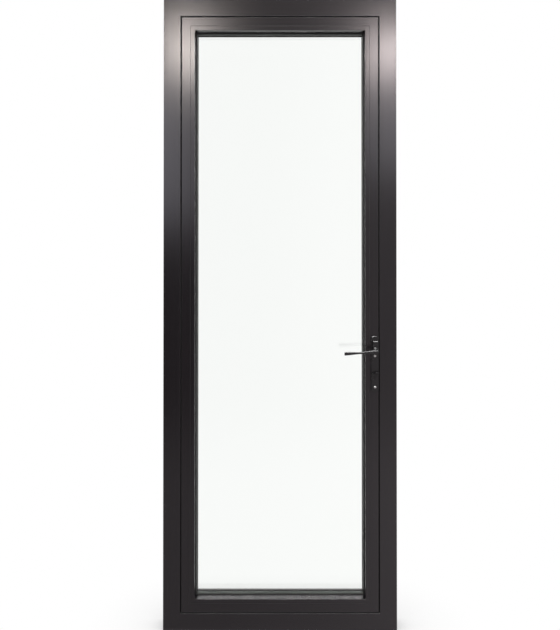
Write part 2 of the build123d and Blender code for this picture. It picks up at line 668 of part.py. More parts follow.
def case_side_holes():
    """Everything that passes through the case's two sides."""
    holes = rod_y(FOLLOWER_HUB + RUNNING, LOCK_Y - 20, LOCK_Y + 20, LOCK_X, SPINDLE_HEIGHT)
    holes = holes + along_y(euro_profile(0.3), LOCK_Y - 20, LOCK_Y + 20)
    return holes + rod_y(POST_RADIUS + 0.5, LOCK_Y - 20, LOCK_Y + 20, LOCK_X, SPINDLE_HEIGHT - SCREW_DROPS[0])


def lock_case():
    """A folded steel tray, open on the street side where its cover closes it."""
    front, rear = FACEPLATE_X - FACEPLATE, FRAME_WIDTH / 2 - CASE_REAR
    half = CASE_THICKNESS / 2
    low, high = SPINDLE_HEIGHT - CASE_BELOW, SPINDLE_HEIGHT + CASE_ABOVE
    body = block(rear, front, LOCK_Y - half, LOCK_Y + half - CASE_WALL, low, high)
    body = body - block(rear + CASE_WALL, front - CASE_WALL, LOCK_Y - half + CASE_WALL, LOCK_Y + half,
                        low + CASE_WALL, high - CASE_WALL)
    window = slot_yz(BOLT_WIDTH + 2 * BOLT_PLAY, LATCH_HEIGHT + 2 * BOLT_PLAY, latch_level())
    window = window + slot_yz(BOLT_WIDTH + 2 * BOLT_PLAY, BOLT_HEIGHT + 2 * BOLT_PLAY, bolt_level())
    body = body - along_x(window, front - CASE_WALL, front)
    cylinder_screw = faceplate_screw_spots()[2]
    body = body - cylinder_screw * countersink(2.5 + SEAT_CLEARANCE, 4.4, 20)
    return body - case_side_holes()


def lock_cover():
    front, rear = FACEPLATE_X - FACEPLATE, FRAME_WIDTH / 2 - CASE_REAR
    half = CASE_THICKNESS / 2
    cover = block(rear, front, LOCK_Y + half - CASE_WALL, LOCK_Y + half,
                  SPINDLE_HEIGHT - CASE_BELOW, SPINDLE_HEIGHT + CASE_ABOVE)
    return cover - case_side_holes()


def lock_follower():
    """The hub that the spindle turns, with the finger that draws the latch back."""
    room_in = CASE_THICKNESS / 2 - CASE_WALL - 0.2
    hub = rod_y(FOLLOWER_HUB, LOCK_Y - CASE_THICKNESS / 2, LOCK_Y + CASE_THICKNESS / 2, LOCK_X, SPINDLE_HEIGHT)
    disc = rod_y(FOLLOWER_RADIUS, LOCK_Y - room_in, LOCK_Y + room_in, LOCK_X, SPINDLE_HEIGHT)
    finger = Pos(0, FINGER_RADIUS / 2) * Rectangle(FINGER_WIDTH, FINGER_RADIUS)
    finger = fillet(finger.vertices().group_by(Axis.Y)[-1], 1.5)
    finger = Pos(LOCK_X, SPINDLE_HEIGHT) * Rot(0, 0, -FINGER_LEAN) * finger
    side = SPINDLE_SIDE + 2 * SEAT_CLEARANCE
    hole = Pos(LOCK_X, SPINDLE_HEIGHT) * Rectangle(side, side)
    body = hub + disc + along_y(finger, LOCK_Y - room_in, LOCK_Y + room_in)
    return body - along_y(hole, LOCK_Y - 20, LOCK_Y + 20)


def latch_bolt():
    """A bevelled spring bolt with the tail and lug that the follower's finger pulls."""
    front = FACEPLATE_X + LATCH_THROW
    head_back = LOCK_X + FINGER_RADIUS + 3
    level = latch_level()
    head = block(head_back, front, LOCK_Y - BOLT_WIDTH / 2, LOCK_Y + BOLT_WIDTH / 2,
                 level - LATCH_HEIGHT / 2, level + LATCH_HEIGHT / 2)
    low, nose = -BOLT_WIDTH / 2, BOLT_WIDTH / 2 - 2
    corners = [(front - LATCH_THROW + 1.5, low), (front + 1, low), (front + 1, nose), (front, nose)]
    bevel = Polygon(*corners, align=None)
    wedge = Pos(0, LOCK_Y, level - LATCH_HEIGHT) * extrude(bevel, amount=2 * LATCH_HEIGHT)
    lug_face = LOCK_X + FINGER_RADIUS * 0.3827 - FINGER_WIDTH / 2 - 0.9
    tail = block(lug_face - 3, head_back + 1, LOCK_Y - 3, LOCK_Y + 3, level - 1, level + 5)
    lug_foot = SPINDLE_HEIGHT + FOLLOWER_RADIUS + 0.8
    lug = block(lug_face - 3, lug_face, LOCK_Y - 4, LOCK_Y + 4, lug_foot, level + 5)
    return head - wedge + tail + lug


def deadbolt():
    """A square bolt, drawn back flush with the faceplate, with the tail that the cam drives."""
    level = bolt_level()
    bolt = block(FACEPLATE_X - BOLT_LENGTH, FACEPLATE_X, LOCK_Y - BOLT_WIDTH / 2, LOCK_Y + BOLT_WIDTH / 2,
                 level - BOLT_HEIGHT / 2, level + BOLT_HEIGHT / 2)
    bolt = chamfer(bolt.faces().sort_by(Axis.X)[-1].edges(), 0.8)
    tail_foot = CYLINDER_Z + CAM_REACH + 1.0
    rear = FACEPLATE_X - BOLT_LENGTH
    tail = block(rear - 8, rear + 2, LOCK_Y - 4, LOCK_Y + 4, tail_foot, level + 4)
    return bolt + tail


def cylinder_body():
    """The profile cylinder's housing, bored for the plug and the turn, and slotted for the cam."""
    near, far = LOCK_Y - CYLINDER_ROOM, LOCK_Y + CYLINDER_STREET
    body = along_y(euro_profile(), near, far)
    half = CAM_SLOT / 2
    bridge = CYLINDER_Z - CAM_REACH - 0.5
    body = body - block(LOCK_X - 12, LOCK_X + 12, LOCK_Y - half, LOCK_Y + half, bridge, CYLINDER_Z + 20)
    body = body - rod_y(TURN_SHAFT + RUNNING, near - 1, LOCK_Y, LOCK_X, CYLINDER_Z)
    body = body - rod_y(PLUG_RADIUS + RUNNING, LOCK_Y, far + 1, LOCK_X, CYLINDER_Z)
    tail = CYLINDER_Z + CYLINDER_RADIUS - CYLINDER_HEIGHT + CYLINDER_TAIL
    return body - rod_x(2.5 + SEAT_CLEARANCE, LOCK_X - 12, LOCK_X + 12, LOCK_Y, tail)


def cylinder_cam():
    """The cam on the turn's shaft. At rest its lobe hangs inside the cylinder's tail."""
    half = CAM_SLOT / 2 - 0.2
    lobe = Pos(0, -CAM_REACH / 2) * Rectangle(8, CAM_REACH)
    outline = Circle(CAM_HUB) + (lobe & Circle(CAM_REACH))
    outline = Pos(LOCK_X, CYLINDER_Z) * (outline - Circle(TURN_SHAFT + SEAT_CLEARANCE))
    return along_y(outline, LOCK_Y - half, LOCK_Y + half)


def thumb_turn():
    """An oval grip on a round shaft that reaches through the cylinder to the cam."""
    face = LOCK_Y - CYLINDER_ROOM
    shaft = rod_y(TURN_SHAFT, face - 3, LOCK_Y + CAM_SLOT / 2 - 0.4, LOCK_X, CYLINDER_Z)
    collar = rod_y(CYLINDER_RADIUS - 0.5, face - 4, face - 0.3, LOCK_X, CYLINDER_Z)
    front = face - 4 - TURN_DEPTH
    grip = Pos(LOCK_X, CYLINDER_Z) * Rot(0, 0, TURN_TILT) * SlotOverall(TURN_LENGTH, TURN_HEIGHT)
    grip = along_y(grip, front, face - 4)
    grip = chamfer(grip.faces().sort_by(Axis.Y)[0].edges(), 1.2)
    scoop = Pos(LOCK_X, 0, CYLINDER_Z) * Rot(0, -TURN_TILT, 0)
    for side in (-1, 1):
        hollow = Cylinder(30, 60, rotation=(90, 0, 0))
        grip = grip - scoop * Pos(0, (front + face) / 2, side * (30 + TURN_HEIGHT / 2 - 2.5)) * hollow
    return shaft + collar + grip


def key_plug():
    """The street-side plug with its keyway."""
    near = LOCK_Y + CAM_SLOT / 2 + 0.2
    far = LOCK_Y + CYLINDER_STREET
    plug = rod_y(PLUG_RADIUS, near, far, LOCK_X, CYLINDER_Z)
    keyway = Rectangle(1.6, 8.5) + Pos(0.7, 1.4) * Rectangle(1.6, 2.2) + Pos(-0.6, -1.8) * Rectangle(1.4, 1.6)
    keyway = Pos(LOCK_X, CYLINDER_Z + 0.3) * keyway
    return plug - along_y(keyway, near + 3, far + 1)


def strike_plate():
    """The plate on the frame that the two bolts enter."""
    face = FRAME_WIDTH / 2 - FRAME_BODY
    outline = Pos(LOCK_Y, faceplate_centre()) * RectangleRounded(STRIKE_WIDTH, STRIKE_LENGTH, 3)
    plate = along_x(outline - strike_pockets(), face - STRIKE, face)
    for spot in strike_screw_spots():
        plate = plate - spot * countersink(2.5 + SEAT_CLEARANCE, 4.4 + SEAT_CLEARANCE, 12)
    return plate


def strike_pockets(grow=0.0):
    wide = BOLT_WIDTH + 2 * (POCKET_PLAY + grow)
    latch = slot_yz(wide, LATCH_HEIGHT + 2 * (POCKET_PLAY + grow), latch_level())
    return latch + slot_yz(wide, BOLT_HEIGHT + 2 * (POCKET_PLAY + grow), bolt_level())


def strike_screw_spots():
    face = FRAME_WIDTH / 2 - FRAME_BODY - STRIKE
    reach = STRIKE_LENGTH / 2 - 12
    return [Pos(face, LOCK_Y, faceplate_centre() + z) * POINT_TO_LEAF for z in (-reach, reach)]


# Handles

def plate_outline(inset=0.0):
    """A long plate with a low arch at its top and bottom."""
    half = PLATE_WIDTH / 2 - inset
    top = SPINDLE_HEIGHT + PLATE_ABOVE - inset
    foot = SPINDLE_HEIGHT - PLATE_BELOW + inset
    shoulder_top, shoulder_foot = top - PLATE_ARCH, foot + PLATE_ARCH
    left, right = LOCK_X - half, LOCK_X + half
    edges = [
        Line((left, shoulder_foot), (left, shoulder_top)),
        ThreePointArc((left, shoulder_top), (LOCK_X, top), (right, shoulder_top)),
        Line((right, shoulder_top), (right, shoulder_foot)),
        ThreePointArc((right, shoulder_foot), (LOCK_X, foot), (left, shoulder_foot)),
    ]
    return make_face(Wire(edges))


def handle_posts(front, back):
    """The solid places inside a hollow plate: round the lever's neck, the cylinder and the screws."""
    posts = rod_y(NECK_RADIUS + POST_WALL, front, back, LOCK_X, SPINDLE_HEIGHT)
    posts = posts + along_y(euro_profile(POST_WALL), front, back)
    for drop in SCREW_DROPS:
        posts = posts + rod_y(POST_RADIUS + 1.5, front, back, LOCK_X, SPINDLE_HEIGHT - drop)
    return posts


def handle_plate(thickness):
    """A handle's plate on the room face: a hollow casting, open at its back."""
    back = ROOM_FACE
    front = back - thickness
    plate = along_y(plate_outline(), front, back)
    plate = chamfer(plate.faces().sort_by(Axis.Y)[0].edges(), PLATE_EDGE)
    plate = plate - (along_y(plate_outline(PLATE_SHELL), front + PLATE_SHELL, back) - handle_posts(front, back))
    return plate - along_y(euro_profile(SOFT_CLEARANCE), front - 1, back + 1)


def lever_hub():
    """The raised hub that carries the lever."""
    middle = SPINDLE_HEIGHT + (HUB_ABOVE - HUB_BELOW) / 2
    outline = Pos(LOCK_X, middle) * RectangleRounded(HUB_WIDTH, HUB_ABOVE + HUB_BELOW, HUB_CORNER)
    hub = along_y(outline, ROOM_FACE - HUB_FRONT, ROOM_FACE - PLATE_ROOM + 1)
    return chamfer(hub.faces().sort_by(Axis.Y)[0].edges(), PLATE_EDGE)


def room_handle_plate():
    """The plate that the photo shows, with recesses for the two screw heads."""
    plate = handle_plate(PLATE_ROOM) + lever_hub()
    front = ROOM_FACE - PLATE_ROOM
    neck_end = ROOM_FACE - NECK_FLOOR
    plate = plate - rod_y(NECK_RADIUS + RUNNING, ROOM_FACE - HUB_FRONT - 1, neck_end, LOCK_X, SPINDLE_HEIGHT)
    plate = plate - rod_y(SPINDLE_SIDE * 0.75, neck_end - 1, ROOM_FACE + 1, LOCK_X, SPINDLE_HEIGHT)
    for drop in SCREW_DROPS:
        plate = plate - rod_y(SCREW_RADIUS + 0.2, front - 1, ROOM_FACE + 1, LOCK_X, SPINDLE_HEIGHT - drop)
        plate = plate - rod_y(SCREW_HEAD + 0.4, front - 1, front + SCREW_RECESS, LOCK_X, SPINDLE_HEIGHT - drop)
    return plate


def street_handle_plate():
    """The thicker plate outside, whose tapped posts reach into the leaf to take the long screws."""
    plate = handle_plate(PLATE_STREET)
    for drop in SCREW_DROPS:
        level = SPINDLE_HEIGHT - drop
        plate = plate + rod_y(POST_RADIUS, ROOM_FACE - 1, ROOM_FACE + POST_REACH, LOCK_X, level)
        bottom = ROOM_FACE - PLATE_STREET + 4
        plate = plate - rod_y(SCREW_RADIUS + SEAT_CLEARANCE, bottom, ROOM_FACE + POST_REACH + 1, LOCK_X, level)
    front = ROOM_FACE - PLATE_STREET
    plate = plate - rod_y(KNOB_SCREW + SEAT_CLEARANCE, front - 1, ROOM_FACE + 1, LOCK_X, SPINDLE_HEIGHT)
    recess = rod_y(KNOB_SCREW_HEAD + 0.4, ROOM_FACE - KNOB_RECESS, ROOM_FACE + 1, LOCK_X, SPINDLE_HEIGHT)
    return mirror(plate - recess, Plane.XZ)


def street_knob():
    """The fixed knob outside, turned in one piece: a rose, a waist and a domed head."""
    foot = STREET_FACE + PLATE_STREET
    tip = STREET_FACE + KNOB_REACH
    outline = [
        Line((0, foot), (KNOB_ROSE, foot)),
        Line((KNOB_ROSE, foot), (KNOB_ROSE, foot + 3)),
        ThreePointArc((KNOB_ROSE, foot + 3), (KNOB_NECK, foot + 10), (KNOB_RADIUS - 3, tip - 20)),
        Line((KNOB_RADIUS - 3, tip - 20), (KNOB_RADIUS, tip - 17)),
        Line((KNOB_RADIUS, tip - 17), (KNOB_RADIUS, tip - 10)),
        ThreePointArc((KNOB_RADIUS, tip - 10), (KNOB_RADIUS * 0.8, tip - 3.6), (KNOB_RADIUS / 3, tip)),
        Line((KNOB_RADIUS / 3, tip), (0, tip)),
        Line((0, tip), (0, foot)),
    ]
    knob = Pos(LOCK_X, 0, SPINDLE_HEIGHT) * revolve(make_face(Wire(edges=outline)), Axis.Y, 360)
    bore_end = STREET_FACE + KNOB_RECESS + KNOB_SCREW_LENGTH + 1
    return knob - rod_y(KNOB_SCREW + SEAT_CLEARANCE, foot - 1, bore_end, LOCK_X, SPINDLE_HEIGHT)


def knob_screw():
    """The screw that holds the knob from the plate's back."""
    seat = Pos(LOCK_X, STREET_FACE + KNOB_RECESS, SPINDLE_HEIGHT) * POINT_TO_ROOM
    return seat * pan_head(KNOB_SCREW, KNOB_SCREW_HEAD, KNOB_SCREW_LENGTH)


def handle_screws():
    """Two long screws from the room-side plate into the street-side plate's posts."""
    seat = ROOM_FACE - PLATE_ROOM + SCREW_RECESS
    length = DEPTH + PLATE_ROOM - SCREW_RECESS + 3
    spots = [Pos(LOCK_X, seat, SPINDLE_HEIGHT - drop) * POINT_TO_ROOM for drop in SCREW_DROPS]
    return [spot * pan_head(SCREW_RADIUS, SCREW_HEAD, length) for spot in spots]


def lever():
    """The room-side lever: a waisted neck out of the hub, and an arm that thins, then flattens to its grip."""
    hub_face = ROOM_FACE - HUB_FRONT
    tip_face = ROOM_FACE - LEVER_REACH
    inner_end = ROOM_FACE - NECK_FLOOR - 0.5
    arm_y = tip_face + ARM_DEPTH / 2
    collar_end, flare_end = hub_face - 2.4, hub_face - 6.5
    outline = [
        Line((0, inner_end), (NECK_RADIUS, inner_end)),
        Line((NECK_RADIUS, inner_end), (NECK_RADIUS, hub_face - 0.4)),
        Line((NECK_RADIUS, hub_face - 0.4), (COLLAR_RADIUS, hub_face - 0.4)),
        Line((COLLAR_RADIUS, hub_face - 0.4), (COLLAR_RADIUS, collar_end)),
        ThreePointArc((COLLAR_RADIUS, collar_end), (WAIST_RADIUS + 1.1, flare_end), (WAIST_RADIUS, arm_y)),
        Line((WAIST_RADIUS, arm_y), (WAIST_RADIUS, tip_face + 1.5)),
        Line((WAIST_RADIUS, tip_face + 1.5), (WAIST_RADIUS - 1.5, tip_face)),
        Line((WAIST_RADIUS - 1.5, tip_face), (0, tip_face)),
        Line((0, tip_face), (0, inner_end)),
    ]
    neck = Pos(LOCK_X, 0, SPINDLE_HEIGHT) * revolve(make_face(Wire(edges=outline)), Axis.Y, 360)
    stations = [  # share of the length, depth, height, drop, set-back from the outer face
        (0.00, 12.0, 12.6, 0.0, 0.0),
        (0.20, 11.0, 10.6, 0.6, 0.3),
        (0.46, 9.0, 6.6, 3.0, 1.0),
        (0.72, 8.0, 9.0, 4.8, 1.2),
        (1.00, 7.0, 11.6, 6.4, 0.8),
    ]
    faces = []
    for share, depth, height, drop, set_back in stations:
        x = LOCK_X - share * LEVER_LENGTH
        y = tip_face + set_back + depth / 2
        corner = min(depth, height) * 0.36
        plane = Plane(origin=(x, y, SPINDLE_HEIGHT - drop), x_dir=(0, 1, 0), z_dir=(-1, 0, 0))
        faces.append(plane * RectangleRounded(depth, height, corner))
    arm = loft(faces)
    arm = chamfer(arm.faces().sort_by(Axis.X)[0].edges(), 0.8)
    side = SPINDLE_SIDE + 2 * SEAT_CLEARANCE
    socket = Pos(LOCK_X, SPINDLE_HEIGHT) * Rectangle(side, side)
    return neck + arm - along_y(socket, -SPINDLE_ROOM - 0.5, inner_end + 1)


def spindle():
    """A half spindle, from inside the lever's neck to just past the lock's follower."""
    bar = Pos(LOCK_X, SPINDLE_HEIGHT) * Rectangle(SPINDLE_SIDE, SPINDLE_SIDE)
    return along_y(bar, -SPINDLE_ROOM, SPINDLE_STREET)


# Cut-outs in the profiles

def handle_cutouts():
    """Holes through the lock stile for the spindle, the cylinder and the handle's screws."""
    reach = DEPTH
    cuts = [rod_y(SPINDLE_SIDE * 0.95, -reach, reach, LOCK_X, SPINDLE_HEIGHT)]
    cuts.append(along_y(euro_profile(0.5), -reach, reach))
    cuts += [rod_y(POST_RADIUS + 0.5, -reach, reach, LOCK_X, SPINDLE_HEIGHT - drop) for drop in SCREW_DROPS]
    return cuts


def faceplate_cutouts():
    """The pocket that the lock case slides into, and the pilot holes of the faceplate's screws."""
    edge = FRAME_WIDTH / 2 - FLANGE_EDGE
    low, high = SPINDLE_HEIGHT - CASE_BELOW - CASE_PLAY, SPINDLE_HEIGHT + CASE_ABOVE + CASE_PLAY
    half = CASE_THICKNESS / 2 + CASE_PLAY
    pocket = case_space(CASE_PLAY) + block(edge - 6, edge + 1, LOCK_Y - half, LOCK_Y + half, low, high)
    levels = [spot.position.Z for spot in faceplate_screw_spots()[:2]]
    return [pocket] + [rod_x(2.5 + SEAT_CLEARANCE, edge - 15, edge + 1, LOCK_Y, z) for z in levels]


def strike_cutouts():
    face = FRAME_WIDTH / 2 - FRAME_BODY
    pockets = along_x(strike_pockets(0.5), face - 1, face + WALL + 1)
    levels = [spot.position.Z for spot in strike_screw_spots()]
    return [pockets] + [rod_x(2.5 + SEAT_CLEARANCE, face - 1, face + WALL + 1, LOCK_Y, z) for z in levels]


def fixing_holes(side):
    """Holes through both walls of a jamb for the screws that hold the frame to the wall."""
    outer = side * FRAME_WIDTH / 2
    inner = outer - side * FRAME_BODY
    low, high = min(outer, inner) - 1, max(outer, inner) + 1
    middle = (OUTER_FRONT + STREET_FACE) / 2
    reach = FRAME_HEIGHT / 2 - FIXING_INSET
    offsets = (-reach, -FIXING_INNER, FIXING_INNER, reach)
    return [rod_x(FIXING_RADIUS, low, high, middle, FRAME_HEIGHT / 2 + offset) for offset in offsets]


def cut(solid, tools):
    for tool in tools:
        solid = solid - tool
    return solid


def build():
    os.makedirs("parts", exist_ok=True)

    frame_inner, frame_outer = frame_inner_section(), frame_outer_section()
    leaf_inner, leaf_outer, bead = leaf_inner_section(), leaf_outer_section(), bead_section()
    outer_cuts = {
        "left": fixing_holes(-1) + hinge_holes(-1),
        "right": fixing_holes(1) + strike_cutouts(),
        "sill": weep_slots(),
    }
    leaf_outer_cuts = {"left": hinge_holes(1), "right": faceplate_cutouts() + handle_cutouts()}
    leaf_inner_cuts = {"right": handle_cutouts()}
    for side in SIDES:
        save(f"frame_inner_{side}", mitred(frame_inner, side))
        save(f"frame_outer_{side}", cut(mitred(frame_outer, side), outer_cuts.get(side, [])))
        save(f"leaf_inner_{side}", cut(mitred(leaf_inner, side), leaf_inner_cuts.get(side, [])))
        save(f"leaf_outer_{side}", cut(mitred(leaf_outer, side), leaf_outer_cuts.get(side, [])))
        save(f"glazing_bead_{side}", mitred(bead, side))
    save("frame_isolators", *[mitred(isolator_section(c), side) for c in FRAME_ISOLATORS for side in SIDES])
    save("leaf_isolators", *[cut(mitred(isolator_section(c), side), leaf_inner_cuts.get(side, []))
                             for c in LEAF_ISOLATORS for side in SIDES])
    save("frame_corner_cleats", *frame_cleats())
    save("leaf_corner_cleats", *leaf_cleats())
    save("stop_seal", ring(stop_seal_section()))
    save("inner_glazing_seal", ring(inner_seal_section()))
    save("outer_glazing_seal", ring(outer_seal_section()))
    save("room_pane", pane(PANE_ROOM))
    save("street_pane", pane(PANE_ROOM + PANE + CAVITY))
    save("spacer_bar", spacer())
    save("setting_blocks", *setting_blocks())

    frame_knuckles, leaf_knuckle = hinge_knuckles()
    frame_wing, leaf_wing = wing(-1, frame_knuckles), wing(1, leaf_knuckle)
    for name, level in HINGE_LEVELS.items():
        save(f"hinge_frame_half_{name}", Pos(0, 0, level) * frame_wing)
        save(f"hinge_leaf_half_{name}", Pos(0, 0, level) * leaf_wing)
    save("hinge_pins", *[hinge_pin(level) for level in HINGE_LEVELS.values()])
    save("hinge_bushes", *[bush for level in HINGE_LEVELS.values() for bush in hinge_bushes(level)])
    save("hinge_frame_screws", *hinge_screws(-1))
    save("hinge_leaf_screws", *hinge_screws(1))

    save("lock_case", lock_case())
    save("lock_cover", lock_cover())
    save("lock_faceplate", faceplate())
    save("lock_screws", *faceplate_screws())
    save("lock_follower", lock_follower())
    save("latch_bolt", latch_bolt())
    save("deadbolt", deadbolt())
    save("strike_plate", strike_plate())
    save("strike_screws", *[spot * countersunk(2.5, 4.4, 14) for spot in strike_screw_spots()])
    save("cylinder_body", cylinder_body())
    save("cylinder_cam", cylinder_cam())
    save("thumb_turn", thumb_turn())
    save("key_plug", key_plug())

    save("room_handle_plate", room_handle_plate())
    save("street_handle_plate", street_handle_plate())
    save("handle_screws", *handle_screws(), knob_screw())
    save("room_lever", lever())
    save("street_knob", street_knob())
    save("handle_spindle", spindle())


build()
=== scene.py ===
import json
import math
import bmesh
import bpy
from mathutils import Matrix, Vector


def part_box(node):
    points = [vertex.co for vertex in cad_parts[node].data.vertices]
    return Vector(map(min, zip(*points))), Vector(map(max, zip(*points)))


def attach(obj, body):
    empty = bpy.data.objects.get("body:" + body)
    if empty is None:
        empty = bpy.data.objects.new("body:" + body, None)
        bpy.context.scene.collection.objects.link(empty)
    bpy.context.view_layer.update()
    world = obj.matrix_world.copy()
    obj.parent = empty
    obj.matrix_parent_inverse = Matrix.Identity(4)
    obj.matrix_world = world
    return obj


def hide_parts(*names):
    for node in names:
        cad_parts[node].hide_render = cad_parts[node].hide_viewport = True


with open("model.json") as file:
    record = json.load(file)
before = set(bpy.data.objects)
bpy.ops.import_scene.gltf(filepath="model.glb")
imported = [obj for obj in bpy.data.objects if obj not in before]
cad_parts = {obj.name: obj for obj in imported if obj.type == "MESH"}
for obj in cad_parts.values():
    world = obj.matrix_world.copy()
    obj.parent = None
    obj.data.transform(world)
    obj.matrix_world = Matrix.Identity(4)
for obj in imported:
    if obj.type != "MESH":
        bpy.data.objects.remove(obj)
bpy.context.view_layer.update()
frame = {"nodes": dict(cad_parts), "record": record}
nodes = frame["nodes"]
scene = bpy.context.scene
mm = 0.001
print("frame loaded:", len(nodes), "nodes")


def linear(hexColour):  # sRGB hex to the linear colour that the sockets take
    values = [int(hexColour[i:i + 2], 16) / 255 for i in (1, 3, 5)]
    return [v / 12.92 if v <= 0.04045 else ((v + 0.055) / 1.055) ** 2.4 for v in values] + [1.0]


def addNode(tree, kind, links=None, **settings):  # links: sockets to join or values to write, by input name or index
    node = tree.nodes.new(kind)
    for name, value in settings.items():
        setattr(node, name, value)
    for socket, source in (links or {}).items():
        if isinstance(source, bpy.types.NodeSocket):
            tree.links.new(source, node.inputs[socket])
        else:
            node.inputs[socket].default_value = source
    return node


# gives the material, its tree, its shader's inputs and the place on the object
def startMaterial(name, colour, roughness, metallic=0.0, **sockets):
    material = bpy.data.materials.new(name)
    material.use_nodes = True
    tree = material.node_tree
    shader = tree.nodes["Principled BSDF"].inputs
    shader["Base Color"].default_value = linear(colour)
    shader["Roughness"].default_value = roughness
    shader["Metallic"].default_value = metallic
    for socket, value in sockets.items():
        shader[socket.replace("_", " ")].default_value = value
    place = addNode(tree, "ShaderNodeTexCoord").outputs["Object"]  # metres, so patterns keep their size
    return material, tree, shader, place


def perMetre(sizeMm):  # noise scale whose blobs are about that many millimetres across
    return 1000 / sizeMm / 2


noiseLow, noiseHigh = 0.3, 0.7  # most of a noise texture's values lie between these


# lays a finish's two shades and, where it has them, its roughness and relief, and gives back the mixed shade
def layFinish(tree, shader, coat, shadeBy, sheenBy=None, reliefBy=None):
    first, second = coat["shades"]
    shade = addNode(tree, "ShaderNodeMix", {0: shadeBy, 6: linear(first), 7: linear(second)}, data_type="RGBA")
    tree.links.new(shade.outputs[2], shader["Base Color"])
    if sheenBy:
        smooth, rough = coat["roughness"]
        sheen = addNode(tree, "ShaderNodeMapRange", {
            "Value": sheenBy, "From Min": noiseLow, "From Max": noiseHigh, "To Min": smooth, "To Max": rough})
        tree.links.new(sheen.outputs[0], shader["Roughness"])
    if reliefBy:
        relief = addNode(tree, "ShaderNodeBump", {"Height": reliefBy, "Distance": coat["reliefMm"] * mm})
        tree.links.new(relief.outputs[0], shader["Normal"])
    return shade.outputs[2]


powderCoat = {
    "shades": ("#181417", "#1e181c"),
    "roughness": (0.215, 0.235),
    "cloudMm": 240,  # slow drift of the coat's shade along a bar
    "peelMm": 1.6, "peelDepthMm": 0.004,  # orange peel of a sprayed and baked coat
    "grainMm": 0.35, "grainDepthMm": 0.002,
    "scuffMm": 9, "scuffStretch": (1, 1, 0.35), "scuffFrom": (0.735, 0.80), "scuff": "#343133",
}


# satin powder coat on extruded aluminium: near black, soft wide highlights, a fine orange peel, a few rubbed marks
def polyesterPowderCoat():
    material, tree, shader, place = startMaterial("polyester_powder_coat", powderCoat["shades"][0], 0.225)
    cloud = addNode(tree, "ShaderNodeTexNoise", {
        "Vector": place, "Scale": perMetre(powderCoat["cloudMm"]), "Detail": 2.0}).outputs["Fac"]
    shade = layFinish(tree, shader, powderCoat, cloud, sheenBy=cloud)
    rubbed = addNode(tree, "ShaderNodeMapping", {"Vector": place, "Scale": powderCoat["scuffStretch"]})
    scuffs = addNode(tree, "ShaderNodeTexNoise", {
        "Vector": rubbed.outputs[0], "Scale": perMetre(powderCoat["scuffMm"]), "Detail": 4.0, "Roughness": 0.7})
    start, full = powderCoat["scuffFrom"]
    scuffed = addNode(tree, "ShaderNodeMapRange", {"Value": scuffs.outputs["Fac"], "From Min": start, "From Max": full})
    colour = addNode(tree, "ShaderNodeMix", {
        0: scuffed.outputs[0], 6: shade, 7: linear(powderCoat["scuff"])}, data_type="RGBA")
    tree.links.new(colour.outputs[2], shader["Base Color"])
    peel = addNode(tree, "ShaderNodeTexNoise", {
        "Vector": place, "Scale": perMetre(powderCoat["peelMm"]), "Detail": 2.0})
    grain = addNode(tree, "ShaderNodeTexNoise", {
        "Vector": place, "Scale": perMetre(powderCoat["grainMm"]), "Detail": 1.0})
    wavy = addNode(tree, "ShaderNodeBump", {
        "Height": peel.outputs["Fac"], "Distance": powderCoat["peelDepthMm"] * mm})
    fine = addNode(tree, "ShaderNodeBump", {
        "Height": grain.outputs["Fac"], "Distance": powderCoat["grainDepthMm"] * mm, "Strength": 0.6,
        "Normal": wavy.outputs[0]})
    tree.links.new(fine.outputs[0], shader["Normal"])
    return material


dieCast = {
    "shades": ("#131214", "#1d1b1d"), "roughness": (0.20, 0.28),
    "handlingMm": 11, "rippleMm": 0.9, "reliefMm": 0.004,
}


# handle plates, lever, knob and hinges: zinc die casting under a thin, slightly glossier black coat
def coatedDieCastZinc():
    material, tree, shader, place = startMaterial("coated_die_cast_zinc", dieCast["shades"][0], 0.24)
    handling = addNode(tree, "ShaderNodeTexNoise", {
        "Vector": place, "Scale": perMetre(dieCast["handlingMm"]), "Detail": 3.0}).outputs["Fac"]
    ripple = addNode(tree, "ShaderNodeTexNoise", {
        "Vector": place, "Scale": perMetre(dieCast["rippleMm"]), "Detail": 2.0}).outputs["Fac"]
    layFinish(tree, shader, dieCast, handling, sheenBy=handling, reliefBy=ripple)
    return material


bareExtrusion = {
    "shades": ("#aaacaf", "#d8dadc"), "roughness": (0.36, 0.50),
    "lineMm": 0.8, "stretch": (1, 0.02, 1), "reliefMm": 0.01,
}


# corner cleats: sawn from bare extrusion, so a grey sheen with lines along the pull of the die
def millAluminium():
    material, tree, shader, place = startMaterial("mill_aluminium", "#c4c6c9", 0.42, 1.0)
    along = addNode(tree, "ShaderNodeMapping", {"Vector": place, "Scale": bareExtrusion["stretch"]})
    dieLines = addNode(tree, "ShaderNodeTexNoise", {
        "Vector": along.outputs[0], "Scale": perMetre(bareExtrusion["lineMm"]), "Detail": 3.0}).outputs["Fac"]
    layFinish(tree, shader, bareExtrusion, dieLines, sheenBy=dieLines, reliefBy=dieLines)
    return material


isolatorStrip = {
    "shades": ("#161617", "#323234"),
    "fibreMm": 0.7, "stretch": (1, 1, 0.08), "reliefMm": 0.01,  # coarser than the real fibres, so that they show
}


# isolator strips: extruded PA66 with glass fibre, matt charcoal with short pale fibres
def glassFilledPolyamide():
    material, tree, shader, place = startMaterial("glass_filled_polyamide", "#222223", 0.62)
    along = addNode(tree, "ShaderNodeMapping", {"Vector": place, "Scale": isolatorStrip["stretch"]})
    fibres = addNode(tree, "ShaderNodeTexNoise", {
        "Vector": along.outputs[0], "Scale": perMetre(isolatorStrip["fibreMm"]), "Detail": 2.0}).outputs["Fac"]
    layFinish(tree, shader, isolatorStrip, fibres, reliefBy=fibres)
    return material


sealRubber = {
    "shades": ("#0e0e0e", "#1c1b1b"), "roughness": (0.62, 0.80),
    "bloomMm": 25, "dragMm": 1.2, "reliefMm": 0.015,
}


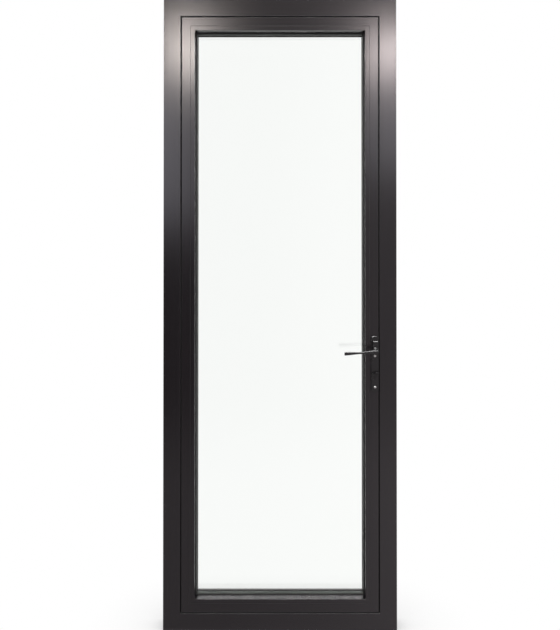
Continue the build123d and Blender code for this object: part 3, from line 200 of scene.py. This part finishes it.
# seals: extruded EPDM, dull black, with a slight drag and a dusty bloom
def epdmRubber():
    material, tree, shader, place = startMaterial("epdm_rubber", "#141414", 0.72)
    bloom = addNode(tree, "ShaderNodeTexNoise", {
        "Vector": place, "Scale": perMetre(sealRubber["bloomMm"]), "Detail": 3.0}).outputs["Fac"]
    drag = addNode(tree, "ShaderNodeTexNoise", {
        "Vector": place, "Scale": perMetre(sealRubber["dragMm"]), "Detail": 3.0}).outputs["Fac"]
    layFinish(tree, shader, sealRubber, bloom, sheenBy=drag, reliefBy=drag)
    return material


temperedPane = {"colour": "#fdfefd", "IOR": 1.52, "waveMm": 200, "stretch": (1, 1, 0.3), "waveDepthMm": 0.01}


# clear float glass: colourless through its face, with the long shallow ripple of a tempering oven
def floatGlass():
    material, tree, shader, place = startMaterial(
        "float_glass", temperedPane["colour"], 0.0, IOR=temperedPane["IOR"], Transmission_Weight=1.0)
    rolled = addNode(tree, "ShaderNodeMapping", {"Vector": place, "Scale": temperedPane["stretch"]})
    ripple = addNode(tree, "ShaderNodeTexNoise", {
        "Vector": rolled.outputs[0], "Scale": perMetre(temperedPane["waveMm"]), "Detail": 1.0})
    bumpy = addNode(tree, "ShaderNodeBump", {
        "Height": ripple.outputs["Fac"], "Distance": temperedPane["waveDepthMm"] * mm, "Strength": 0.2})
    tree.links.new(bumpy.outputs[0], shader["Normal"])
    return material


spacerTube = {
    "shades": ("#565a56", "#2a2c2a"),  # the tube, and the painted shade inside a slit
    "slitPitchMm": 2.5, "slitEdge": (0.16, 0.24), "reliefMm": -0.02,
}


# spacer bar: dark grey anodised aluminium tube, its inner face pricked with breather slits, each painted dark for the
# shade inside it
def anodisedSpacer():
    material, tree, shader, place = startMaterial("anodised_spacer_aluminium", spacerTube["shades"][0], 0.42, 1.0)
    pricks = addNode(tree, "ShaderNodeTexVoronoi", {
        "Vector": place, "Scale": 1000 / spacerTube["slitPitchMm"], "Randomness": 0.0}, feature="F1")
    near, far = spacerTube["slitEdge"]
    # inSlit is 1 in a slit: there it paints the slit's shade and sinks its relief
    inSlit = addNode(tree, "ShaderNodeMapRange", {
        "Value": pricks.outputs["Distance"], "From Min": near, "From Max": far, "To Min": 1.0, "To Max": 0.0})
    layFinish(tree, shader, spacerTube, inSlit.outputs[0], reliefBy=inSlit.outputs[0])
    return material


settingBlock = {"shades": ("#626569", "#787b7f"), "cloudMm": 5, "textureMm": 0.6, "reliefMm": 0.02}


# setting blocks: moulded grey polypropylene, satin with a faint mould texture
def mouldedPolypropylene():
    material, tree, shader, place = startMaterial("moulded_polypropylene", "#6c6f73", 0.5)
    cloud = addNode(tree, "ShaderNodeTexNoise", {
        "Vector": place, "Scale": perMetre(settingBlock["cloudMm"]), "Detail": 2.0}).outputs["Fac"]
    texture = addNode(tree, "ShaderNodeTexNoise", {
        "Vector": place, "Scale": perMetre(settingBlock["textureMm"]), "Detail": 2.0}).outputs["Fac"]
    layFinish(tree, shader, settingBlock, cloud, reliefBy=texture)
    return material


stainless = {
    "shades": ("#bdbdbb", "#e2e2e0"), "roughness": (0.20, 0.34),
    "brushMm": 0.5, "stretch": (1, 1, 0.03), "reliefMm": 0.004,  # coarser than the real brush, so that it shows
}


# faceplate, strike, pins and screws: cold-rolled stainless steel with a fine lengthwise brush
def brushedStainless():
    material, tree, shader, place = startMaterial("brushed_stainless_steel", "#c8c7c4", 0.27, 1.0)
    along = addNode(tree, "ShaderNodeMapping", {"Vector": place, "Scale": stainless["stretch"]})
    brush = addNode(tree, "ShaderNodeTexNoise", {
        "Vector": along.outputs[0], "Scale": perMetre(stainless["brushMm"]), "Detail": 3.0}).outputs["Fac"]
    layFinish(tree, shader, stainless, brush, sheenBy=brush, reliefBy=brush)
    return material


zincPlate = {"shades": ("#a5a8ac", "#c5c8ca"), "roughness": (0.28, 0.42), "spangleMm": 6, "passivatedMm": 7}


# lock case and bolts: folded steel, bright zinc plated, with a faint spangle
def zincPlatedSteel():
    material, tree, shader, place = startMaterial("zinc_plated_steel", "#b5b8bb", 0.34, 1.0)
    spangle = addNode(tree, "ShaderNodeTexVoronoi", {
        "Vector": place, "Scale": 1000 / zincPlate["spangleMm"]}, feature="F1")
    passivated = addNode(tree, "ShaderNodeTexNoise", {
        "Vector": place, "Scale": perMetre(zincPlate["passivatedMm"]), "Detail": 3.0})
    layFinish(tree, shader, zincPlate, spangle.outputs["Color"], sheenBy=passivated.outputs["Fac"])
    return material


hingeBush = {"shades": ("#d2d0c6", "#e9e7e1"), "cloudMm": 4, "lightReachMm": 2}


# hinge bushes: moulded nylon, off-white, letting a little light into its skin
def whiteNylon():
    material, tree, shader, place = startMaterial(
        "white_nylon", "#dedcd4", 0.42, Subsurface_Weight=0.15, Subsurface_Scale=hingeBush["lightReachMm"] * mm)
    cloud = addNode(tree, "ShaderNodeTexNoise", {
        "Vector": place, "Scale": perMetre(hingeBush["cloudMm"]), "Detail": 2.0}).outputs["Fac"]
    layFinish(tree, shader, hingeBush, cloud)
    return material


turned = (0.05, 1, 0.05)  # stretches a noise into rings about a turned piece
blackCylinder = {
    "shades": ("#151415", "#272527"), "roughness": (0.22, 0.32),
    "ringMm": 0.5, "rubbedMm": 6, "reliefMm": 0.004,  # rings coarser than real turning marks, so that they show
}


# cylinder and thumb-turn: machined brass, chemically blackened, a low sheen over turning marks
def blackenedBrass():
    material, tree, shader, place = startMaterial("blackened_brass", "#1a191a", 0.24, 0.3)
    around = addNode(tree, "ShaderNodeMapping", {"Vector": place, "Scale": turned})
    turning = addNode(tree, "ShaderNodeTexNoise", {
        "Vector": around.outputs[0], "Scale": perMetre(blackCylinder["ringMm"]), "Detail": 2.0}).outputs["Fac"]
    rubbed = addNode(tree, "ShaderNodeTexNoise", {
        "Vector": place, "Scale": perMetre(blackCylinder["rubbedMm"]), "Detail": 3.0}).outputs["Fac"]
    layFinish(tree, shader, blackCylinder, rubbed, sheenBy=turning, reliefBy=turning)
    return material


keyPlug = {"shades": ("#ac8a45", "#dcbb76"), "ringMm": 0.4, "reliefMm": 0.004}


# key plug: bare yellow brass with the rings of the lathe
def machinedBrass():
    material, tree, shader, place = startMaterial("machined_brass", "#c9a65e", 0.26, 1.0)
    around = addNode(tree, "ShaderNodeMapping", {"Vector": place, "Scale": turned})
    turning = addNode(tree, "ShaderNodeTexNoise", {
        "Vector": around.outputs[0], "Scale": perMetre(keyPlug["ringMm"]), "Detail": 2.0}).outputs["Fac"]
    layFinish(tree, shader, keyPlug, turning, reliefBy=turning)
    return material


finishes = {
    "black_aluminium": polyesterPowderCoat(),
    "black_die_cast": coatedDieCastZinc(),
    "mill_aluminium": millAluminium(),
    "polyamide": glassFilledPolyamide(),
    "black_rubber": epdmRubber(),
    "clear_glass": floatGlass(),
    "spacer_aluminium": anodisedSpacer(),
    "grey_plastic": mouldedPolypropylene(),
    "stainless_steel": brushedStainless(),
    "zinc_steel": zincPlatedSteel(),
    "white_nylon": whiteNylon(),
    "black_brass": blackenedBrass(),
    "plain_brass": machinedBrass(),
}
slotOf = {part["node"]: part["material_slot"] for part in frame["record"]["subparts"]}
for name, node in nodes.items():
    node.data.materials.clear()
    node.data.materials.append(finishes[slotOf[name]])
print("materials on", len(slotOf), "nodes")


# sizes that the pieces share, in millimetres, read from the frame; each inset is a distance in from the door's edge
doorLow, doorHigh = [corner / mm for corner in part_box("frame_inner_left")]
halfWidth, doorHeight = -doorLow.x, doorHigh.z
roomFace = doorLow.y
beadLow, beadHigh = [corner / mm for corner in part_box("glazing_bead_left")]
beadStart, sightLine, beadBack = halfWidth + beadLow.x, halfWidth + beadHigh.x, beadHigh.y
roomPaneFront, roomPaneBack = [corner.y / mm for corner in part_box("room_pane")]
streetPaneFront, streetPaneBack = [corner.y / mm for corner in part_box("street_pane")]
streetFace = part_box("frame_outer_left")[1].y / mm
sharpAngle = math.radians(38)  # edges that turn by more than this stay crisp


def finishPiece(name, shape, body, slot):  # makes the object from its bmesh, gives it its finish and its body
    bmesh.ops.recalc_face_normals(shape, faces=shape.faces)
    mesh = bpy.data.meshes.new(name)
    shape.to_mesh(mesh)
    shape.free()
    mesh.shade_smooth()
    mesh.set_sharp_from_angle(angle=sharpAngle)
    mesh.materials.append(finishes[slot])
    piece = bpy.data.objects.new(name, mesh)
    scene.collection.objects.link(piece)
    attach(piece, body)
    return piece


def sweepRound(profile, size=None):  # runs a closed outline of (inset, y) round the door with mitred corners
    shape = bmesh.new()
    rows = []
    for inset, y in profile:
        x, low, high = halfWidth - inset, inset, doorHeight - inset
        if size and inset > sightLine:  # what shows past the bead is pressed lower at the foot
            low = sightLine + (inset - sightLine) * size["atFoot"] / size["stands"]
        corners = ((-x, y, low), (x, y, low), (x, y, high), (-x, y, high))
        rows.append([shape.verts.new(Vector(corner) * mm) for corner in corners])
    for row, nextRow in zip(rows, rows[1:] + rows[:1]):
        for i in range(4):
            shape.faces.new((row[i], row[i - 1], nextRow[i - 1], nextRow[i]))
    return shape


play = 0.05  # between a gasket and what it lies on
roomGasket = {
    "stands": 4.0, "atFoot": 2.6,  # how far it shows past the bead, and how far at the foot
    "root": 8.0,  # how deep it sits behind the bead
    "nose": 0.9,  # how round its lip is
}


def makeRoomGasket():  # wedge gasket between bead and pane: a rounded lip shows beside the bead
    tip, nose = sightLine + roomGasket["stands"], roomGasket["nose"]
    root = sightLine - roomGasket["root"]
    front, back = beadBack + play, roomPaneFront - play
    piece = finishPiece("room_glazing_gasket", sweepRound([
        (root, front), (sightLine - 0.2, front),
        (tip - 1.6 * nose, front + 0.35), (tip - 0.5 * nose, front + 0.8), (tip, front + 1.6),
        (tip, back - 0.9), (tip - 0.4 * nose, back - 0.3), (tip - nose, back),
        (root + 2, back),
    ], roomGasket), "leaf", "black_rubber")
    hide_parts("inner_glazing_seal")


streetGasket = {
    "stands": 6.0, "atFoot": 1.6, "root": 9.0, "nose": 1.0,
    "thickness": 4.0,
    "foot": (108.0, 3.0, 2.1),  # the foot's inset, width and depth
}


def makeStreetGasket():  # flat gasket between the street pane and the fixed lip, pressed in by its foot
    tip, nose = sightLine + streetGasket["stands"], streetGasket["nose"]
    root = sightLine - streetGasket["root"]
    front, back = streetPaneBack + play, streetPaneBack + streetGasket["thickness"] - play
    middle, width, depth = streetGasket["foot"]
    piece = finishPiece("street_glazing_gasket", sweepRound([
        (root, front), (tip - nose, front), (tip - 0.3 * nose, front + 0.3), (tip, front + 1.0),
        (tip, back - 1.2), (tip - 0.3 * nose, back - 0.5), (tip - nose, back - 0.2), (sightLine - 0.4, back),
        (middle + width / 2, back), (middle + width / 2, back + depth),
        (middle - width / 2, back + depth), (middle - width / 2, back),
        (root, back),
    ], streetGasket), "leaf", "black_rubber")
    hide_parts("outer_glazing_seal")


spacerSize = {
    "stands": 3.6, "atFoot": 2.0, "root": 8.0,
    "butyl": 0.35,  # sealant between the tube and each pane
    "shoulder": 1.1, "edge": 0.3,
}


def makeSpacer():  # spacer tube between the panes, with sloped shoulders where the butyl lies
    front, back = roomPaneBack + spacerSize["butyl"], streetPaneFront - spacerSize["butyl"]
    root, top = sightLine - spacerSize["root"], sightLine + spacerSize["stands"]
    shoulder, edge = spacerSize["shoulder"], spacerSize["edge"]
    piece = finishPiece("spacer_tube", sweepRound([
        (root, front + 2 * shoulder), (root + 2 * shoulder, front),
        (top - shoulder, front), (top - edge, front + edge), (top, front + shoulder),
        (top, back - shoulder), (top - edge, back - edge), (top - shoulder, back),
        (root + 2 * shoulder, back), (root, back - 2 * shoulder),
    ], spacerSize), "leaf", "spacer_aluminium")
    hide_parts("spacer_bar")


rounding = 0.6  # share of a thin strip's height or half width where its edge starts to round
sunk = 0.1  # how far the thin strips reach into the bars
# the black strip that paints the shadow in the joint between bead and leaf
beadShadowLine = {"width": 0.9, "proud": 0.12}


def makeBeadShadowLine():  # the dark hairline where the snapped-in bead meets the leaf: a black strip that paints the joint's shadow
    half, proud = beadShadowLine["width"] / 2, beadShadowLine["proud"]
    finishPiece("bead_shadow_line", sweepRound([
        (beadStart - half, roomFace + sunk), (beadStart - half, roomFace - proud * rounding),
        (beadStart - half * rounding, roomFace - proud), (beadStart + half * rounding, roomFace - proud),
        (beadStart + half, roomFace - proud * rounding), (beadStart + half, roomFace + sunk),
    ]), "leaf", "black_rubber")


# matt black strips in the gap between frame and leaf, which paint the gap's shadow
gapShadeStrip = {
    "frame": 62.0, "leaf": 66.0,  # the inset where each bar ends at the gap
    "overlap": 1.1, "round": 0.5, "proud": 0.1, "deep": 9.0,
}


def makeGapShadeStrips():  # matt black strips that line both sides of the gap: painted shade, so that its line stays as dark as its shadow
    proud, bend, deep = gapShadeStrip["proud"], gapShadeStrip["round"], gapShadeStrip["deep"]
    for body, side in (("frame", 1), ("leaf", -1)):
        edge = gapShadeStrip[body]
        start = edge - side * gapShadeStrip["overlap"]
        finishPiece(body + "_gap_shade_strip", sweepRound([
            (start, roomFace + proud), (start, roomFace - proud * rounding),
            (edge - side * bend, roomFace - proud), (edge + side * proud, roomFace + bend),
            (edge + side * proud, roomFace + deep), (edge - side * bend, roomFace + deep),
        ]), body, "black_rubber")


mitreLine = {
    "width": 0.3, "proud": 0.03,
    "frameRoom": (1.0, 61.2), "leafRoom": (66.8, 97.4), "beadRoom": (98.8, 113.2),  # from and to, as insets
    "frameStreet": (1.0, 35.2), "leafStreet": (43.0, 113.2),
}
boxLoops = ((0, 1, 3, 2), (4, 6, 7, 5), (0, 4, 5, 1), (2, 3, 7, 6), (1, 5, 7, 3), (0, 2, 6, 4))  # a strip's six sides


def addMitres(shape, fromTo, face, outwards):  # four fine strips, one across each corner of a face
    half = mitreLine["width"] / 2
    near, far = face - outwards * sunk, face + outwards * mitreLine["proud"]
    for xSide in (-1, 1):
        for zSide in (-1, 1):
            corners = []
            for inset in fromTo:
                x, z = xSide * (halfWidth - inset), (inset if zSide < 0 else doorHeight - inset)
                for across in (-half, half):
                    for y in (near, far):
                        corners.append(shape.verts.new(Vector((x + across * xSide, y, z + across * zSide)) * mm))
            for loop in boxLoops:
                shape.faces.new([corners[i] for i in loop])


def makeMitreLines():  # the hairline of sealant where the bars meet at each corner
    for body in ("frame", "leaf"):
        shape = bmesh.new()
        addMitres(shape, mitreLine[body + "Room"], roomFace, -1)
        addMitres(shape, mitreLine[body + "Street"], streetFace, 1)
        if body == "leaf":
            addMitres(shape, mitreLine["beadRoom"], roomFace, -1)
        finishPiece(body + "_mitre_lines", shape, body, "black_rubber")


weepCover = {
    "at": {"left": -295.0, "middle": 0.0, "right": 295.0},
    "level": 8.5,
    "length": 36.0, "height": 11.0, "stands": 3.2,
    "mouth": (26.0, 3.2), "mouthDepth": 2.4,  # the slot that lets the water out
    "edge": 0.8, "mouthEdge": (0.6, 0.4),  # how much the mouth widens at its edge, and how deep that edge is
    "lift": 0.02,  # off the wall
    "steps": 8,
}


def stadium(length, height):  # points round a slot shape, in x and z, from its lower right
    radius, straight = height / 2, (length - height) / 2
    points = []
    for side in (1, -1):
        for step in range(weepCover["steps"] + 1):
            angle = math.pi * (step / weepCover["steps"] - 0.5)
            points.append((side * (straight + radius * math.cos(angle)), side * radius * math.sin(angle)))
    return points


def makeWeepCovers():  # snapped-in hoods over the sill's drain slots
    length, height, edge = weepCover["length"], weepCover["height"], weepCover["edge"]
    front = streetFace + weepCover["stands"]
    mouthLength, mouthHeight = weepCover["mouth"]
    widens, bevel = weepCover["mouthEdge"]
    loops = [  # length, height and y of each loop, from the wall out and into the mouth
        (length, height, streetFace + weepCover["lift"]),
        (length, height, front - edge),
        (length - edge * 0.6, height - edge * 0.6, front - edge * 0.3),
        (length - edge * 2, height - edge * 2, front),
        (mouthLength + widens, mouthHeight + widens, front),
        (mouthLength, mouthHeight, front - bevel),
        (mouthLength, mouthHeight, front - weepCover["mouthDepth"]),
    ]
    for side, x in weepCover["at"].items():
        shape = bmesh.new()
        rings = []
        for loopLength, loopHeight, y in loops:
            spots = [(x + across, y, weepCover["level"] + up) for across, up in stadium(loopLength, loopHeight)]
            rings.append([shape.verts.new(Vector(spot) * mm) for spot in spots])
        for ring, nextRing in zip(rings, rings[1:]):
            for i in range(len(ring)):
                shape.faces.new((ring[i], ring[i - 1], nextRing[i - 1], nextRing[i]))
        shape.faces.new(rings[0])
        shape.faces.new(rings[-1])
        finishPiece("weep_cover_" + side, shape, "frame", "polyamide")


makeRoomGasket()
makeStreetGasket()
makeSpacer()
makeBeadShadowLine()
makeGapShadeStrips()
makeMitreLines()
makeWeepCovers()
print("gaskets, spacer, joints, gap shade strips and weep covers made")


stage = {
    "floorColour": "#f2f1ef",
    "floorHalf": 40, "floorDropMm": 0.5,
    "worldLight": 0.55,
    "shadowReach": 0.3, "shadowDarkest": 0.5, "shadowFrom": (0.3, 0.95),  # occlusion that gives full shadow, and none
}


def seenRays(tree):  # 1 for camera, glossy and transmitted rays, 0 for the rays that carry light
    path = addNode(tree, "ShaderNodeLightPath").outputs
    first = addNode(tree, "ShaderNodeMath", {0: path["Is Camera Ray"], 1: path["Is Glossy Ray"]}, operation="MAXIMUM")
    both = addNode(tree, "ShaderNodeMath", {0: first.outputs[0], 1: path["Is Transmission Ray"]}, operation="MAXIMUM")
    return both.outputs[0]


def makeFloor():  # pale floor: seen as white, apart from the soft shadow at the object's foot
    half = stage["floorHalf"]
    mesh = bpy.data.meshes.new("studio_floor")
    mesh.from_pydata([(-half, -half, 0), (half, -half, 0), (half, half, 0), (-half, half, 0)], [], [(0, 1, 2, 3)])
    floor = bpy.data.objects.new("studio_floor", mesh)
    floor.location.z = -stage["floorDropMm"] * mm
    scene.collection.objects.link(floor)
    material, tree, _, _ = startMaterial("painted_floor", stage["floorColour"], 0.9)
    occlusion = addNode(tree, "ShaderNodeAmbientOcclusion", {"Distance": stage["shadowReach"]}, samples=8)
    full, none = stage["shadowFrom"]
    shade = addNode(tree, "ShaderNodeMapRange", {
        "Value": occlusion.outputs["AO"], "From Min": full, "From Max": none,
        "To Min": stage["shadowDarkest"], "To Max": 1.0})
    white = addNode(tree, "ShaderNodeEmission", {"Color": (1, 1, 1, 1), "Strength": shade.outputs[0]})
    paint = tree.nodes["Principled BSDF"].outputs[0]
    mixed = addNode(tree, "ShaderNodeMixShader", {0: seenRays(tree), 1: paint, 2: white.outputs[0]})
    tree.links.new(mixed.outputs[0], tree.nodes["Material Output"].inputs["Surface"])
    mesh.materials.append(material)


def makeWorld():  # seen as plain white, and gives the rest of the light softly from all sides
    world = bpy.data.worlds.new("studio")
    world.use_nodes = True
    scene.world = world
    tree = world.node_tree
    level = addNode(tree, "ShaderNodeMapRange", {
        "Value": seenRays(tree), "To Min": stage["worldLight"], "To Max": 1.0})
    tree.links.new(level.outputs[0], tree.nodes["Background"].inputs["Strength"])
    tree.nodes["Background"].inputs["Color"].default_value = (1, 1, 1, 1)


darkFlag = {
    "reach": 9.0, "front": (-0.045, -5.0), "behind": (0.045, 9.0), "top": 7.0,  # metres
    "left": 0.11, "right": 0.54, "turn": (-0.3, 0.9),  # its glow at each side, and where one turns into the other
    "floorGlow": 0.36, "floorFrom": (-3.4, -1.0),  # the extra glow near the door, and where it starts and is full
    "tint": "#fff7fa",
}


# the dim room round the door, a little lighter in front and at its right, which only the object's gloss sees
def makeDarkFlag():
    wide, top = darkFlag["reach"], darkFlag["top"]
    near, far = darkFlag["front"]
    behind, away = darkFlag["behind"]
    mesh = bpy.data.meshes.new("dark_flag")
    corners = [(-wide, near, 0), (wide, near, 0), (-wide, far, 0), (wide, far, 0), (-wide, far, top), (wide, far, top)]
    corners += [(-wide, behind, 0), (wide, behind, 0), (-wide, away, 0), (wide, away, 0)]
    mesh.from_pydata(corners, [], [(0, 1, 3, 2), (2, 3, 5, 4), (6, 7, 9, 8)])
    flag = bpy.data.objects.new("dark_flag", mesh)
    scene.collection.objects.link(flag)
    material, tree, _, place = startMaterial("grey_cloth", "#595959", 0.9)
    across = addNode(tree, "ShaderNodeSeparateXYZ", {0: place})
    low, high = darkFlag["turn"]
    level = addNode(tree, "ShaderNodeMapRange", {
        "Value": across.outputs[0], "From Min": low, "From Max": high,
        "To Min": darkFlag["left"], "To Max": darkFlag["right"]}, interpolation_type="SMOOTHSTEP")
    start, end = darkFlag["floorFrom"]
    nearby = addNode(tree, "ShaderNodeMapRange", {
        "Value": across.outputs[1], "From Min": start, "From Max": end,
        "To Min": 0.0, "To Max": darkFlag["floorGlow"]}, interpolation_type="SMOOTHSTEP")
    both = addNode(tree, "ShaderNodeMath", {0: level.outputs[0], 1: nearby.outputs[0]}, operation="ADD")
    inFront = addNode(tree, "ShaderNodeMath", {0: across.outputs[1], 1: 0.0}, operation="LESS_THAN")
    strength = addNode(tree, "ShaderNodeMapRange", {
        "Value": inFront.outputs[0], "To Min": darkFlag["left"], "To Max": both.outputs[0]})
    glow = addNode(tree, "ShaderNodeEmission", {"Color": linear(darkFlag["tint"]), "Strength": strength.outputs[0]})
    tree.links.new(glow.outputs[0], tree.nodes["Material Output"].inputs["Surface"])
    mesh.materials.append(material)
    flag.visible_camera = flag.visible_transmission = flag.visible_shadow = flag.visible_diffuse = False


# where each lamp stands, where it points, its width and height, watts and colour, and whether it gives
# soft light, gloss, and light through the glass, which the sill's bead gets from the high window alone
lamps = {
    "softbox_left": {
        "at": (-0.865, -3.3, 3.25), "to": (-0.34, 0, 2.13), "size": (0.12, 0.30),
        "watts": 21, "colour": "#fff4ee", "soft": False, "gloss": True, "through": False},
    "softbox_right": {
        "at": (1.06, -3.3, 3.23), "to": (0.40, 0, 2.11), "size": (0.32, 0.26),
        "watts": 19, "colour": "#fff1f0", "soft": False, "gloss": True, "through": False},
    "bounce_left": {
        "at": (-1.25, -3.6, 2.42), "to": (-0.45, 0, 1.8), "size": (0.8, 1.5),
        "watts": 12, "colour": "#f6f4ff", "soft": False, "gloss": True, "through": False},
    "bounce_right": {
        "at": (1.25, -3.6, 2.70), "to": (0.45, 0, 1.9), "size": (0.8, 1.0),
        "watts": 7.5, "colour": "#f6f4ff", "soft": False, "gloss": True, "through": False},
    "fill_front": {
        "at": (0.0, -5.5, 2.4), "to": (0, 0, 1.1), "size": (3.0, 2.0),
        "watts": 60, "colour": "#ffffff", "soft": True, "gloss": False, "through": False},
    "overhead_strip": {
        "at": (0.2, -1.1, 4.6), "to": (0.2, -0.1, 1.0), "size": (3.0, 1.0),
        "watts": 330, "colour": "#ffffff", "soft": False, "gloss": True, "through": False},
    "fill_behind": {
        "at": (0.0, 4.5, 2.85), "to": (0, 0, 0.6), "size": (2.6, 0.8),
        "watts": 18, "colour": "#ffffff", "soft": True, "gloss": False, "through": False},
    "high_window": {
        "at": (0.0, 11.0, 7.05), "to": (0, 0, 0.1), "size": (8.0, 1.1),
        "watts": 90, "colour": "#fff6fb", "soft": False, "gloss": True, "through": True},
}


def makeLamps():
    for name, lamp in lamps.items():
        light = bpy.data.lights.new(name, "AREA")
        light.shape = "RECTANGLE"
        light.size, light.size_y = lamp["size"]
        light.energy = lamp["watts"]
        light.color = linear(lamp["colour"])[:3]
        holder = bpy.data.objects.new(name, light)
        scene.collection.objects.link(holder)
        holder.location = lamp["at"]
        holder.rotation_euler = (Vector(lamp["to"]) - holder.location).to_track_quat("-Z", "Y").to_euler()
        holder.visible_diffuse = lamp["soft"]
        holder.visible_glossy = lamp["gloss"]
        holder.visible_transmission = lamp["through"]


lens = {
    "at": (0.0, -2.135, 1.386), "pitchDeg": 0.4,
    "focalMm": 37.01, "sensorMm": 36, "shift": (0.0, -0.125), "clip": (0.05, 100),
}


def makeCamera():  # at standing height, level, with the lens shifted down to frame the door
    camera = bpy.data.objects.new("camera", bpy.data.cameras.new("camera"))
    scene.collection.objects.link(camera)
    camera.location = lens["at"]
    camera.rotation_euler = (math.radians(90 + lens["pitchDeg"]), 0, 0)
    camera.data.sensor_fit = "HORIZONTAL"
    camera.data.sensor_width = lens["sensorMm"]
    camera.data.lens = lens["focalMm"]
    camera.data.shift_x, camera.data.shift_y = lens["shift"]
    camera.data.clip_start, camera.data.clip_end = lens["clip"]
    scene.camera = camera


makeFloor()
makeWorld()
makeDarkFlag()
makeLamps()
makeCamera()
scene.view_settings.view_transform = "Standard"
print("floor, light and camera ready")
